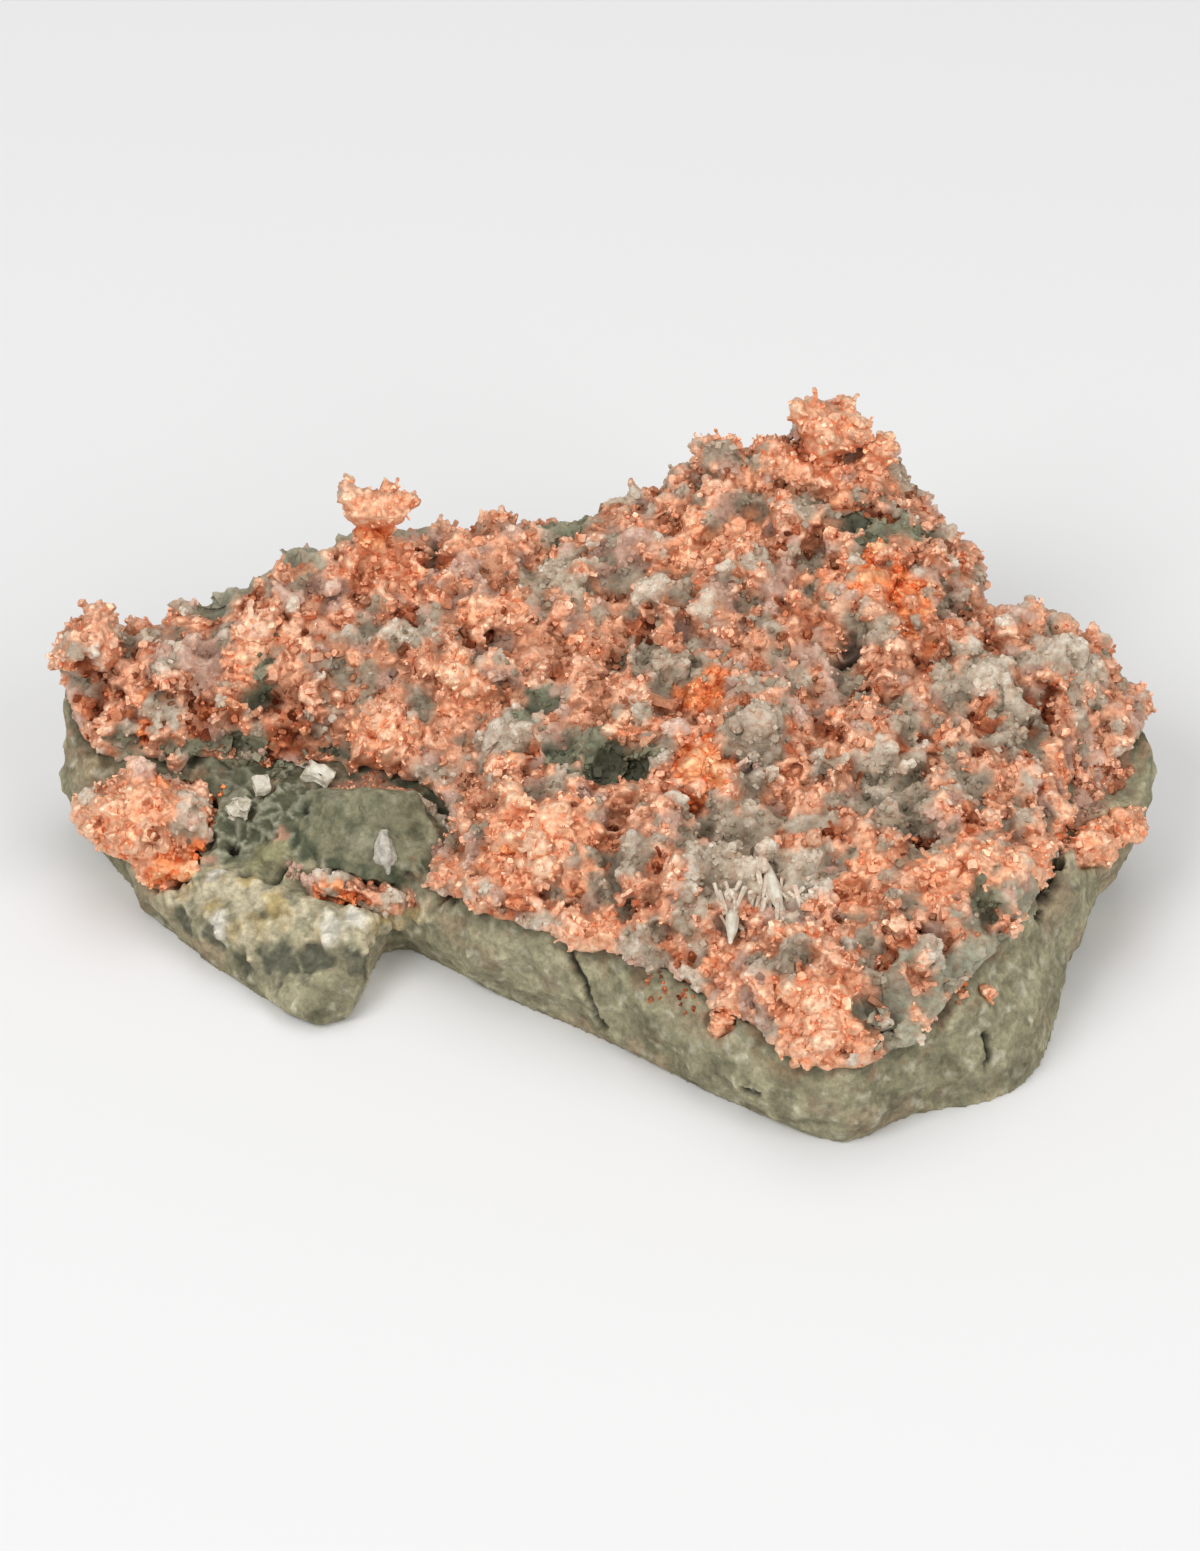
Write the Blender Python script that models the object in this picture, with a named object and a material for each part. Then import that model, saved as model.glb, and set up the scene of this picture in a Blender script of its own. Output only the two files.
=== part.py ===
"""Native copper specimen: a spongy crust of copper grown over a slab of altered rock.

The slab lies on a flat foot. Plan positions are in millimetres, x to the right and y from the
front tip towards the back; heights are millimetres above the foot. The finished specimen is
moved so that its origin is the middle of its footprint, on the resting plane.
"""

import math

import bmesh
import bpy
from mathutils import Euler, Matrix, Vector, noise
from mathutils.bvhtree import BVHTree
from mathutils.geometry import delaunay_2d_cdt

MM = 0.001
MIDDLE = (0.0, 40.0)            # middle of the slab in plan
GAP = 0.30                      # clearance between neighbouring solids

# Triangulation in plan, as shares of the spacing.
ROW_PITCH = math.sqrt(3) / 2
SCATTER = 0.24                  # how far a point strays from its row
EDGE_CLEAR = 0.55               # how near to the outline a point may be

# Finishes: colour, roughness, metallic.
COPPER = ((0.72, 0.33, 0.20, 1.0), 0.42, 1.0)
RED_COPPER = ((0.66, 0.20, 0.09, 1.0), 0.40, 1.0)
ROCK = ((0.31, 0.30, 0.23, 1.0), 0.90, 0.0)
CALCITE = ((0.76, 0.74, 0.68, 1.0), 0.35, 0.0)
GREY_CALCITE = ((0.50, 0.52, 0.49, 1.0), 0.35, 0.0)

# Slab -------------------------------------------------------------------------------------
# Each station round the slab, counter-clockwise from the front tip:
# rim x, rim y, rim height, then x and y of the foot below it.
SLAB_STATIONS = [
    (22.8, 1.6, 9.2, 24.2, 0.2),       # front tip
    (30.5, 5.2, 10.2, 31.0, 4.2),
    (36.5, 11.2, 13.4, 38.5, 6.0),
    (41.5, 17.5, 14.8, 43.5, 10.5),    # broad right-front face
    (45.8, 23.0, 15.2, 46.2, 19.0),
    (49.0, 29.0, 13.6, 47.2, 27.5),
    (55.0, 38.4, 11.8, 50.6, 36.8),
    (56.0, 44.5, 14.8, 53.0, 44.5),    # right corner
    (50.0, 52.0, 18.2, 48.0, 52.0),
    (42.0, 56.0, 19.6, 41.0, 57.0),
    (36.0, 63.5, 22.6, 35.5, 64.5),
    (29.5, 70.5, 26.6, 29.0, 71.0),    # behind the peak
    (19.0, 74.0, 28.4, 19.5, 73.0),
    (7.0, 72.5, 25.4, 7.0, 71.0),
    (-6.0, 70.0, 22.2, -6.0, 68.5),
    (-18.0, 68.5, 22.6, -18.0, 66.5),
    (-30.0, 64.5, 21.6, -29.5, 62.5),
    (-41.0, 59.0, 19.0, -40.0, 57.5),
    (-49.5, 57.0, 17.6, -47.5, 56.0),
    (-54.0, 51.5, 15.6, -52.6, 50.5),  # left end
    (-52.4, 45.0, 12.2, -50.4, 43.4),
    (-49.2, 38.6, 8.0, -47.6, 38.6),
    (-43.4, 32.4, 6.0, -42.8, 31.0),
    (-36.4, 25.6, 5.0, -36.4, 24.2),
    (-28.4, 19.6, 4.2, -27.6, 17.2),   # left foot
    (-23.6, 22.0, 5.8, -24.0, 20.0),
    (-20.4, 28.0, 8.0, -20.8, 28.6),   # undercut notch
    (-15.0, 26.6, 10.6, -15.6, 26.4),
    (-9.6, 21.6, 10.8, -9.2, 21.4),
    (0.4, 17.2, 10.6, 0.0, 15.6),
    (6.0, 13.2, 10.4, 5.4, 11.8),
    (11.6, 8.8, 9.8, 11.2, 7.4),
    (16.8, 4.6, 9.2, 17.4, 3.6),
]
# Chips broken off the slab: a point on the broken face, then the way the face looks.
SLAB_CHIPS = [
    ((2.0, 71.6, 8.0), (0.05, 0.80, -0.46)),
    ((-34.0, 61.0, 9.0), (-0.42, 0.86, -0.12)),
    ((-47.6, 57.4, 6.0), (-0.58, 0.58, -0.58)),
    ((38.0, 61.0, 8.0), (0.62, 0.62, -0.48)),
    ((25.0, 73.2, 12.0), (0.30, 0.94, 0.10)),
    ((50.6, 50.0, 4.0), (0.60, 0.56, -0.58)),
    ((-14.0, 68.4, 14.0), (-0.20, 0.96, 0.20)),
]
CHIP_SIZE = 60.0
# Heights of the slab's top inside the rim: x, y, height.
SLAB_SPOTS = [
    (22.0, 12.0, 12.4), (8.0, 24.0, 14.4), (33.0, 24.0, 16.0), (-4.0, 32.0, 14.6),
    (16.0, 38.0, 18.6), (40.0, 40.0, 18.4), (0.0, 48.0, 19.8), (28.0, 52.0, 21.8),
    (-24.0, 52.0, 19.4), (-42.0, 50.0, 17.4), (8.0, 62.0, 24.0), (22.0, 66.0, 27.0),
    (-12.0, 60.0, 21.8), (-44.0, 41.0, 11.4), (-36.0, 38.0, 12.2), (-28.0, 38.0, 12.6),
    (-20.0, 36.0, 12.2), (-34.0, 30.5, 8.0), (-27.0, 27.0, 7.6),
]
SPOT_SOFTNESS = 6.0             # square millimetres; how flat the top is round each spot
SPOT_FALLOFF = 1.8              # how fast a spot's weight falls with the square of distance
SLAB_SPACING = 2.9
SLAB_SIDE_RINGS = 5
SLAB_BELLY = 1.1                # how far the sides swell between rim and foot
SLAB_ROUGHNESS = 0.9
TOP_ROUGHNESS = 0.9
BARE_BLEND = 2.5                # over which the bare top turns rough outside the crust
# Swellings of the bare terrace: x, y, radius along x, radius along y, height.
TERRACE_SWELLS = [
    (-22.4, 32.0, 8.8, 5.8, 4.0),      # rounded green lens
    (-30.5, 37.0, 5.0, 3.4, 1.6),
    (-15.2, 34.6, 2.6, 2.6, 2.0),
    (-30.0, 25.6, 9.0, 2.6, 1.2),      # pale band above the left foot
]

# Crust ------------------------------------------------------------------------------------
CRUST_OUTLINE = [
    (22.4, 0.6), (30.6, 3.6), (36.6, 10.0), (41.4, 16.2), (44.8, 21.4), (45.4, 27.4),
    (46.6, 33.4), (49.2, 39.0), (54.4, 43.4), (55.8, 48.0), (49.5, 53.0), (42.6, 55.6),
    (39.4, 59.6), (37.0, 64.4), (32.8, 68.4), (29.6, 71.6), (22.6, 73.2), (13.0, 72.4), (5.6, 70.0),
    (-5.0, 67.4), (-15.6, 67.0), (-26.0, 64.8), (-33.6, 61.4), (-40.4, 57.6), (-46.0, 55.8),
    (-51.6, 55.8), (-54.4, 52.2), (-52.6, 46.8), (-49.4, 44.2), (-41.8, 43.4), (-33.0, 42.6),
    (-24.4, 41.8), (-16.8, 39.4), (-14.2, 33.4), (-14.4, 27.2), (-9.8, 20.8), (-3.2, 18.6),
    (2.6, 15.8), (7.2, 13.2), (11.4, 10.0), (16.8, 4.6),
]
CRUST_SPACING = 2.35
CRUST_THICKNESS = 4.0
CRUST_LEAST = 1.6               # in the deepest pits
CRUST_EDGE_THICKNESS = 1.9
CRUST_EDGE_WIDTH = 4.5          # over which the crust thins towards its edge
EDGE_WOBBLE = 0.5               # unevenness of the crust's outline
CRUST_LIP = 0.55                # how far the edge swells out between its two faces
LIP_LEVEL = 0.45                # where it swells most, as a share of the edge's height
CRUST_SEAT = 0.60               # clearance over the slab, both being faceted
APRON_REACH = 5.0               # the crust's bed continues this far past the slab's rim
APRON_FALL = 0.35
LUMP_SIZE = 6.5
LUMP_HEIGHT = 2.2
HACKLE_SIZE = 3.0
HACKLE_HEIGHT = 1.1
# Lumps (positive) and pits (negative) in the crust: x, y, radius, height.
CRUST_RELIEF = [
    (16.7, 37.6, 5.0, 2.6), (47.5, 47.0, 5.0, 2.0), (-2.4, 56.0, 4.0, 1.6),
    (-8.0, 42.0, 5.0, 1.4), (-10.0, 30.0, 6.0, 1.8), (22.0, 8.0, 6.0, 1.6),
    (30.0, 60.0, 5.0, 1.8), (12.0, 66.0, 5.0, 2.0), (28.0, 36.0, 5.0, 1.2),
    (-32.0, 50.0, 6.0, 1.6), (4.0, 28.0, 5.0, 1.2), (36.0, 46.0, 5.0, 1.4),
    (-20.0, 62.0, 6.0, 1.8), (-32.0, 58.4, 5.0, 1.8), (-10.0, 64.4, 6.0, 2.0),
    (44.0, 52.0, 4.5, 1.6),
    (18.0, 70.0, 5.0, 2.2), (27.0, 68.0, 4.0, 1.6), (35.0, 63.0, 4.5, 2.4),
    (25.0, 46.0, 3.6, -2.6), (24.0, 19.0, 3.4, -2.0), (2.0, 36.5, 3.6, -2.0),
    (-24.0, 45.5, 3.4, -1.6), (38.0, 54.0, 3.4, -1.8), (8.0, 50.0, 3.6, -1.8),
    (-8.0, 24.6, 2.8, -1.2), (34.0, 18.0, 3.2, -1.6), (-42.0, 52.0, 3.4, -1.4),
]

# Growths fused to the crust: centre, radii, turn in degrees.
CRUST_GROWTHS = [
    ((-22.3, 60.0, 26.4), (2.0, 1.8, 4.6), (0, 6, 0)),         # stalk of the tuft
    ((-22.0, 60.4, 31.6), (3.7, 2.9, 2.2), (0, -8, 0)),        # head of the tuft
    ((-24.6, 60.2, 33.2), (1.6, 1.5, 1.4), (0, 25, 0)),
    ((-18.9, 60.6, 32.4), (1.5, 1.3, 1.5), (0, -20, 0)),
    ((-51.2, 51.2, 21.0), (4.2, 3.8, 3.6), (0, 0, 0)),         # left peak
    ((-50.6, 51.8, 24.2), (1.7, 1.6, 2.2), (0, 10, 0)),
    ((24.0, 69.8, 34.2), (4.2, 3.4, 3.2), (0, 0, 0)),          # knob on the right-hand peak
    ((29.2, 69.2, 31.4), (2.0, 1.8, 3.6), (0, 20, 0)),         # spur beside the knob
    ((12.9, 69.6, 31.2), (2.5, 2.3, 3.2), (0, 0, 0)),
]
# Copper lumps seated in the slab: centre, radii, turn in degrees, detail, finish.
NODULE = ((-45.0, 37.6, 9.8), (7.2, 5.0, 4.6), (0, 0, 0), 3, COPPER)
NODULE_LIP = ((-43.0, 33.2, 6.8), (3.6, 2.3, 2.2), (0, 0, 0), 2, RED_COPPER)
VEIN = ((-24.0, 27.6, 8.4), (6.0, 1.9, 1.7), (0, 4, -16), 2, RED_COPPER)
BEAD = ((12.2, 7.8, 9.0), (1.6, 1.5, 1.3), (0, 0, 0), 2, COPPER)
SPUR = ((50.7, 31.5, 12.2), (7.5, 2.2, 2.2), (0, 12, 50), 2, COPPER)
SPECK = ((38.4, 10.0, 11.4), (0.9, 0.8, 0.9), (0, 0, 0), 1, RED_COPPER)
# Calcite blocks seated on the terrace: centre, size, turn in degrees, finish.
LEFT_BLOCK = ((-35.6, 36.0, 12.4), (2.6, 2.2, 2.2), (18, 24, 32), CALCITE)
MIDDLE_BLOCK = ((-33.4, 37.4, 14.2), (1.9, 1.6, 1.7), (30, -12, 14), CALCITE)
RIGHT_BLOCK = ((-27.8, 39.6, 13.8), (3.2, 1.8, 1.5), (12, 10, -24), CALCITE)
# Long crystals: centre, width by length by thickness, turn in degrees, finish.
LENS_CRYSTAL = ((-20.8, 29.2, 12.4), (2.5, 4.6, 1.6), (38, 0, 8), GREY_CALCITE)
LEFT_BLADE = ((13.4, 15.4, 15.6), (1.5, 5.4, 1.1), (14, 0, -4), CALCITE)
RIGHT_BLADE = ((17.6, 18.6, 16.6), (1.5, 5.8, 1.1), (16, 0, 12), CALCITE)
NUGGET_ROUGHNESS = 0.20
CLEAVAGE_SLANT = (0.22, 0.14)
CORNER_BREAKS = ((0.7, -0.6, 0.8), (-0.8, -0.3, 0.7))
CORNER_REACH = 0.36             # share of the block's half-diagonal left by a broken corner
BLADE_SIDES = 6
BLADE_PROFILE = ((-0.5, 0.30), (-0.2, 0.85), (0.15, 1.0), (0.5, 0.42))      # along, breadth
BLADE_TIPS = (-0.58, 0.60)


def closed_curve(points, spacing):
    """Points at even spacing along the smooth closed curve through the given points."""
    count = len(points)
    dense = []
    for index in range(count):
        p0, p1, p2, p3 = (Vector(points[(index + k - 1) % count]) for k in range(4))
        for step in range(12):
            t = step / 12
            dense.append(0.5 * (2 * p1 + (p2 - p0) * t + (2 * p0 - 5 * p1 + 4 * p2 - p3) * t * t
                                + (3 * p1 - p0 - 3 * p2 + p3) * t ** 3))
    lengths = [(dense[(k + 1) % len(dense)].xy - dense[k].xy).length for k in range(len(dense))]
    total = sum(lengths)
    samples = round(total / spacing)
    result = []
    walked = 0.0
    index = 0
    for sample in range(samples):
        target = total * sample / samples
        while walked + lengths[index] < target:
            walked += lengths[index]
            index += 1
        part = (target - walked) / lengths[index]
        result.append(dense[index].lerp(dense[(index + 1) % len(dense)], part))
    return result


def edge_distance(x, y, outline):
    """Distance from (x, y) to the outline, positive inside it and negative outside."""
    nearest = math.inf
    inside = False
    for index, end in enumerate(outline):
        start = outline[index - 1]
        dx, dy = end[0] - start[0], end[1] - start[1]
        along = ((x - start[0]) * dx + (y - start[1]) * dy) / (dx * dx + dy * dy)
        along = min(1.0, max(0.0, along))
        nearest = min(nearest, math.hypot(x - start[0] - along * dx, y - start[1] - along * dy))
        if (start[1] > y) != (end[1] > y) and x < start[0] + (y - start[1]) * dx / dy:
            inside = not inside
    return nearest if inside else -nearest


def smoothstep(value):
    """Ramp from 0 to 1 with level ends."""
    value = min(1.0, max(0.0, value))
    return value * value * (3 - 2 * value)


def grain(x, y, z, size):
    """Smooth noise between about -1 and 1 whose features are size millimetres across."""
    return noise.noise(Vector((x, y, z)) / size) * 1.6


def lumpy(x, y, size):
    """Rounded lumps with sharp valleys between them, from 0 to 1."""
    distances, _centres = noise.voronoi(Vector((x / size, y / size, 3.7)))
    return 1.0 - min(1.0, distances[0] * 1.3)


def relief(x, y, features):
    """Sum of the round features x, y, radius, height at (x, y)."""
    total = 0.0
    for fx, fy, radius, height in features:
        total += height * smoothstep(1.0 - math.hypot(x - fx, y - fy) / (radius * 1.4))
    return total


def away_from_middle(point):
    """Level unit vector from the middle of the slab towards the point."""
    outward = Vector((point.x - MIDDLE[0], point.y - MIDDLE[1], 0.0))
    return outward.normalized()


def outward_at(ring, index):
    """Level unit vector square to a counter-clockwise ring at one of its points."""
    before, after = ring[index - 1], ring[(index + 1) % len(ring)]
    return Vector((after.y - before.y, before.x - after.x, 0.0)).normalized()


def plan_mesh(outline, spacing, seed):
    """Triangulate an outline in plan: its own points, then scattered points inside."""
    points = [Vector(p[:2]) for p in outline]
    edges = [(k, (k + 1) % len(points)) for k in range(len(points))]
    xs = [p.x for p in points]
    ys = [p.y for p in points]
    rows = int((max(ys) - min(ys)) / (spacing * ROW_PITCH)) + 1
    columns = int((max(xs) - min(xs)) / spacing) + 1
    for row in range(rows + 1):
        for column in range(columns + 1):
            x = min(xs) + (column + 0.5 * (row % 2)) * spacing
            y = min(ys) + row * spacing * ROW_PITCH
            x += grain(x, y, seed, 3.1) * spacing * SCATTER
            y += grain(x, y, seed + 9.0, 3.1) * spacing * SCATTER
            if edge_distance(x, y, outline) > spacing * EDGE_CLEAR:
                points.append(Vector((x, y)))
    verts, _edges, faces, *_rest = delaunay_2d_cdt(points, edges, [], 1, 1e-6)
    return verts, faces


def new_object(name, bm, finish):
    """Link the bmesh, in millimetres, as an object in metres with a material of its own."""
    bmesh.ops.recalc_face_normals(bm, faces=bm.faces)
    bmesh.ops.transform(bm, matrix=Matrix.Scale(MM, 4), verts=bm.verts)
    mesh = bpy.data.meshes.new(name)
    bm.to_mesh(mesh)
    bm.free()
    colour, roughness, metallic = finish
    material = bpy.data.materials.new(name)
    material.use_nodes = True
    material.diffuse_color = colour
    shader = material.node_tree.nodes["Principled BSDF"]
    shader.inputs["Base Color"].default_value = colour
    shader.inputs["Roughness"].default_value = roughness
    shader.inputs["Metallic"].default_value = metallic
    mesh.materials.append(material)
    obj = bpy.data.objects.new(name, mesh)
    bpy.context.scene.collection.objects.link(obj)
    return obj


def combine(host, tools, operation):
    """Add or cut the tools on the host in one step, and put them out of sight."""
    group = bpy.data.collections.new(f"{host.name}_{operation.lower()}")
    bpy.context.scene.collection.children.link(group)
    for tool in tools:
        bpy.context.scene.collection.objects.unlink(tool)
        group.objects.link(tool)
        tool.hide_render = True
        tool.display_type = "WIRE"
    modifier = host.modifiers.new(group.name, "BOOLEAN")
    modifier.operation = operation
    modifier.solver = "EXACT"
    modifier.operand_type = "COLLECTION"
    modifier.collection = group


# The slab ---------------------------------------------------------------------------------

def slab_height(x, y):
    """Height of the slab's top, blended from the stations and the spot heights."""
    total = weights = 0.0
    spots = SLAB_SPOTS + [station[:3] for station in SLAB_STATIONS]
    for sx, sy, sz in spots:
        weight = 1.0 / ((x - sx) ** 2 + (y - sy) ** 2 + SPOT_SOFTNESS) ** SPOT_FALLOFF
        total += sz * weight
        weights += weight
    return total / weights


def bare_relief(x, y):
    """Roughness and swellings of the slab's top, only where the crust leaves it bare."""
    bare = smoothstep(-edge_distance(x, y, CRUST_OUTLINE) / BARE_BLEND)
    height = TOP_ROUGHNESS * (grain(x, y, 0.0, 5.0) + 0.5 * grain(x, y, 5.0, 2.6))
    for sx, sy, rx, ry, rise in TERRACE_SWELLS:
        height += rise * math.sqrt(max(0.0, 1.0 - ((x - sx) / rx) ** 2 - ((y - sy) / ry) ** 2))
    return bare * height


def slab_bed(rim):
    """The slab's top with an apron round it, as the surface that the crust grows on."""
    bm = bmesh.new()
    verts, faces = plan_mesh(rim, SLAB_SPACING, 0.0)
    ring = [bm.verts.new((v.x, v.y, top_of_slab(v.x, v.y))) for v in verts]
    for face in faces:
        bm.faces.new([ring[k] for k in face])
    bmesh.ops.recalc_face_normals(bm, faces=bm.faces)
    boundary = [edge for edge in bm.edges if edge.is_boundary]
    grown = bmesh.ops.extrude_edge_only(bm, edges=boundary)["geom"]
    for vert in (item for item in grown if isinstance(item, bmesh.types.BMVert)):
        vert.co += away_from_middle(vert.co) * APRON_REACH
        vert.co.z -= APRON_REACH * APRON_FALL
    return BVHTree.FromBMesh(bm)


def top_of_slab(x, y):
    """Height of the slab's top at (x, y)."""
    return slab_height(x, y) + bare_relief(x, y)


def build_slab(rim, feet):
    """The slab: a rough top, swelling sides and a flat foot."""
    bm = bmesh.new()
    verts, faces = plan_mesh(rim, SLAB_SPACING, 0.0)
    top = [bm.verts.new((v.x, v.y, top_of_slab(v.x, v.y))) for v in verts]
    for face in faces:
        bm.faces.new([top[k] for k in face])
    rim_count = len(rim)
    ring = top[:rim_count]
    for level in range(1, SLAB_SIDE_RINGS + 1):
        fall = level / SLAB_SIDE_RINGS
        lower = []
        for index in range(rim_count):
            head = top[index].co
            foot = Vector((feet[index].x, feet[index].y, 0.0))
            point = head.lerp(foot, fall)
            if level < SLAB_SIDE_RINGS:
                swell = SLAB_BELLY * math.sin(math.pi * fall)
                swell += SLAB_ROUGHNESS * grain(point.x, point.y, point.z, 8.0)
                swell += SLAB_ROUGHNESS * 0.6 * grain(point.x, point.y, point.z + 40.0, 3.6)
                point += outward_at(feet, index) * swell
            lower.append(bm.verts.new(point))
        for index in range(rim_count):
            following = (index + 1) % rim_count
            bm.faces.new((ring[index], ring[following], lower[following], lower[index]))
        ring = lower
    bm.faces.new(ring)
    return new_object("matrix_rock", bm, ROCK)


# The crust --------------------------------------------------------------------------------

def bed_height(bed, x, y):
    """Height of the bed under (x, y)."""
    hit, _normal, _index, _distance = bed.ray_cast(Vector((x, y, 100.0)), Vector((0, 0, -1)))
    return hit.z


def crust_thickness(x, y, inside):
    """Thickness of the crust at (x, y), at a distance inside its edge."""
    body = CRUST_THICKNESS + LUMP_HEIGHT * (lumpy(x, y, LUMP_SIZE) - 0.5)
    body += HACKLE_HEIGHT * grain(x, y, 11.0, HACKLE_SIZE)
    body += relief(x, y, CRUST_RELIEF)
    ramp = math.sqrt(smoothstep(inside / CRUST_EDGE_WIDTH))
    return CRUST_EDGE_THICKNESS + (max(body, CRUST_LEAST) - CRUST_EDGE_THICKNESS) * ramp


def build_crust(bed):
    """The crust: a sheet of uneven thickness whose underside follows its bed."""
    outline = []
    for point in closed_curve(CRUST_OUTLINE, CRUST_SPACING):
        wobble = EDGE_WOBBLE * grain(point.x, point.y, 21.0, 4.0)
        outline.append(point + away_from_middle(point.to_3d()).xy * wobble)
    verts, faces = plan_mesh(outline, CRUST_SPACING, 30.0)
    bm = bmesh.new()
    under = []
    upper = []
    for vert in verts:
        low = bed_height(bed, vert.x, vert.y) + CRUST_SEAT
        inside = max(0.0, edge_distance(vert.x, vert.y, outline))
        under.append(bm.verts.new((vert.x, vert.y, low)))
        high = low + crust_thickness(vert.x, vert.y, inside)
        upper.append(bm.verts.new((vert.x, vert.y, high)))
    for face in faces:
        bm.faces.new([upper[k] for k in face])
        bm.faces.new([under[k] for k in reversed(face)])
    count = len(outline)
    middle = []
    for index in range(count):
        between = under[index].co.lerp(upper[index].co, LIP_LEVEL)
        middle.append(bm.verts.new(between + outward_at(outline, index) * CRUST_LIP))
    for index in range(count):
        following = (index + 1) % count
        for lower, higher in ((under, middle), (middle, upper)):
            bm.faces.new((lower[index], lower[following], higher[following], higher[index]))
    return new_object("copper_crust", bm, COPPER)


def place(name, bm, centre, turn, finish):
    """Turn a shape about its own middle, put it at its centre and link it."""
    rotation = Euler([math.radians(angle) for angle in turn]).to_matrix().to_4x4()
    bmesh.ops.transform(bm, matrix=Matrix.Translation(centre) @ rotation, verts=bm.verts)
    return new_object(name, bm, finish)


def nugget(name, centre, radii, turn, detail, finish):
    """An irregular rounded lump."""
    bm = bmesh.new()
    bmesh.ops.create_icosphere(bm, subdivisions=detail, radius=1.0)
    size = sum(radii) / 3
    for vert in bm.verts:
        direction = vert.co.copy()
        near = direction * 1.9 + Vector(centre) * 0.37
        shift = NUGGET_ROUGHNESS * size * (grain(*near, 1.0) + 0.5 * grain(*near, 0.45))
        vert.co = Vector([direction[k] * radii[k] for k in range(3)]) + direction * shift
    return place(name, bm, centre, turn, finish)


def cleavage_block(name, centre, size, turn, finish):
    """A block of calcite with slanting sides and two broken corners."""
    bm = bmesh.new()
    bmesh.ops.create_cube(bm, size=1.0)
    bmesh.ops.scale(bm, vec=size, verts=bm.verts)
    slant = Matrix.Shear("XY", 4, CLEAVAGE_SLANT)
    bmesh.ops.transform(bm, matrix=slant, verts=bm.verts)
    for direction in map(Vector, CORNER_BREAKS):
        reach = sum(abs(direction[k]) * size[k] for k in range(3)) * CORNER_REACH
        point = direction.normalized() * reach / direction.length
        everything = bm.verts[:] + bm.edges[:] + bm.faces[:]
        cut = bmesh.ops.bisect_plane(bm, geom=everything, plane_co=point, plane_no=direction,
                                     clear_outer=True)
        rim = [item for item in cut["geom_cut"] if isinstance(item, bmesh.types.BMEdge)]
        bmesh.ops.contextual_create(bm, geom=rim)
    return place(name, bm, centre, turn, finish)


def blade(name, centre, size, turn, finish):
    """A lath-shaped crystal, widest above its middle and pointed at both ends."""
    width, length, thickness = size
    bm = bmesh.new()
    rings = []
    for along, breadth in BLADE_PROFILE:
        ring = []
        for corner in range(BLADE_SIDES):
            angle = math.tau * corner / BLADE_SIDES
            ring.append(bm.verts.new((math.cos(angle) * width * 0.5 * breadth, along * length,
                                      math.sin(angle) * thickness * 0.5 * breadth)))
        rings.append(ring)
    for lower, upper in zip(rings, rings[1:]):
        for corner in range(BLADE_SIDES):
            other = (corner + 1) % BLADE_SIDES
            bm.faces.new((lower[corner], lower[other], upper[other], upper[corner]))
    for ring, end in zip((rings[0], rings[-1]), BLADE_TIPS):
        tip = bm.verts.new((0.0, end * length, 0.0))
        for corner in range(BLADE_SIDES):
            bm.faces.new((ring[corner], ring[(corner + 1) % BLADE_SIDES], tip))
    return place(name, bm, centre, turn, finish)


def chip(index, point, direction):
    """A block whose one face is a broken face of the slab, to cut that face with."""
    bm = bmesh.new()
    bmesh.ops.create_cube(bm, size=CHIP_SIZE)
    outward = Vector(direction).normalized()
    rotation = outward.to_track_quat("Z", "Y").to_matrix().to_4x4()
    middle = Vector(point) + outward * CHIP_SIZE / 2
    bmesh.ops.transform(bm, matrix=Matrix.Translation(middle) @ rotation, verts=bm.verts)
    return new_object(f"chip_{index}", bm, ROCK)


def seat_for(piece):
    """The piece's shape with the clearance all round, to cut its seat with."""
    bm = bmesh.new()
    bm.from_mesh(piece.data)
    bmesh.ops.transform(bm, matrix=Matrix.Scale(1.0 / MM, 4), verts=bm.verts)
    bm.normal_update()
    moves = [vert.normal * vert.calc_shell_factor() * GAP for vert in bm.verts]
    for vert, move in zip(bm.verts, moves):
        vert.co += move
    return new_object("seat_" + piece.name, bm, COPPER)


def stand_on_origin(objects):
    """Move everything so that the middle of the footprint is the origin."""
    graph = bpy.context.evaluated_depsgraph_get()
    corners = []
    for obj in objects:
        if not obj.hide_render:
            corners += [Vector(corner) for corner in obj.evaluated_get(graph).bound_box]
    centre = [(min(c[k] for c in corners) + max(c[k] for c in corners)) / 2 for k in range(2)]
    specimen = bpy.data.objects.new("specimen", None)
    bpy.context.scene.collection.objects.link(specimen)
    for obj in objects:
        obj.parent = specimen
    specimen.location = (-centre[0], -centre[1], 0.0)


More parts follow.
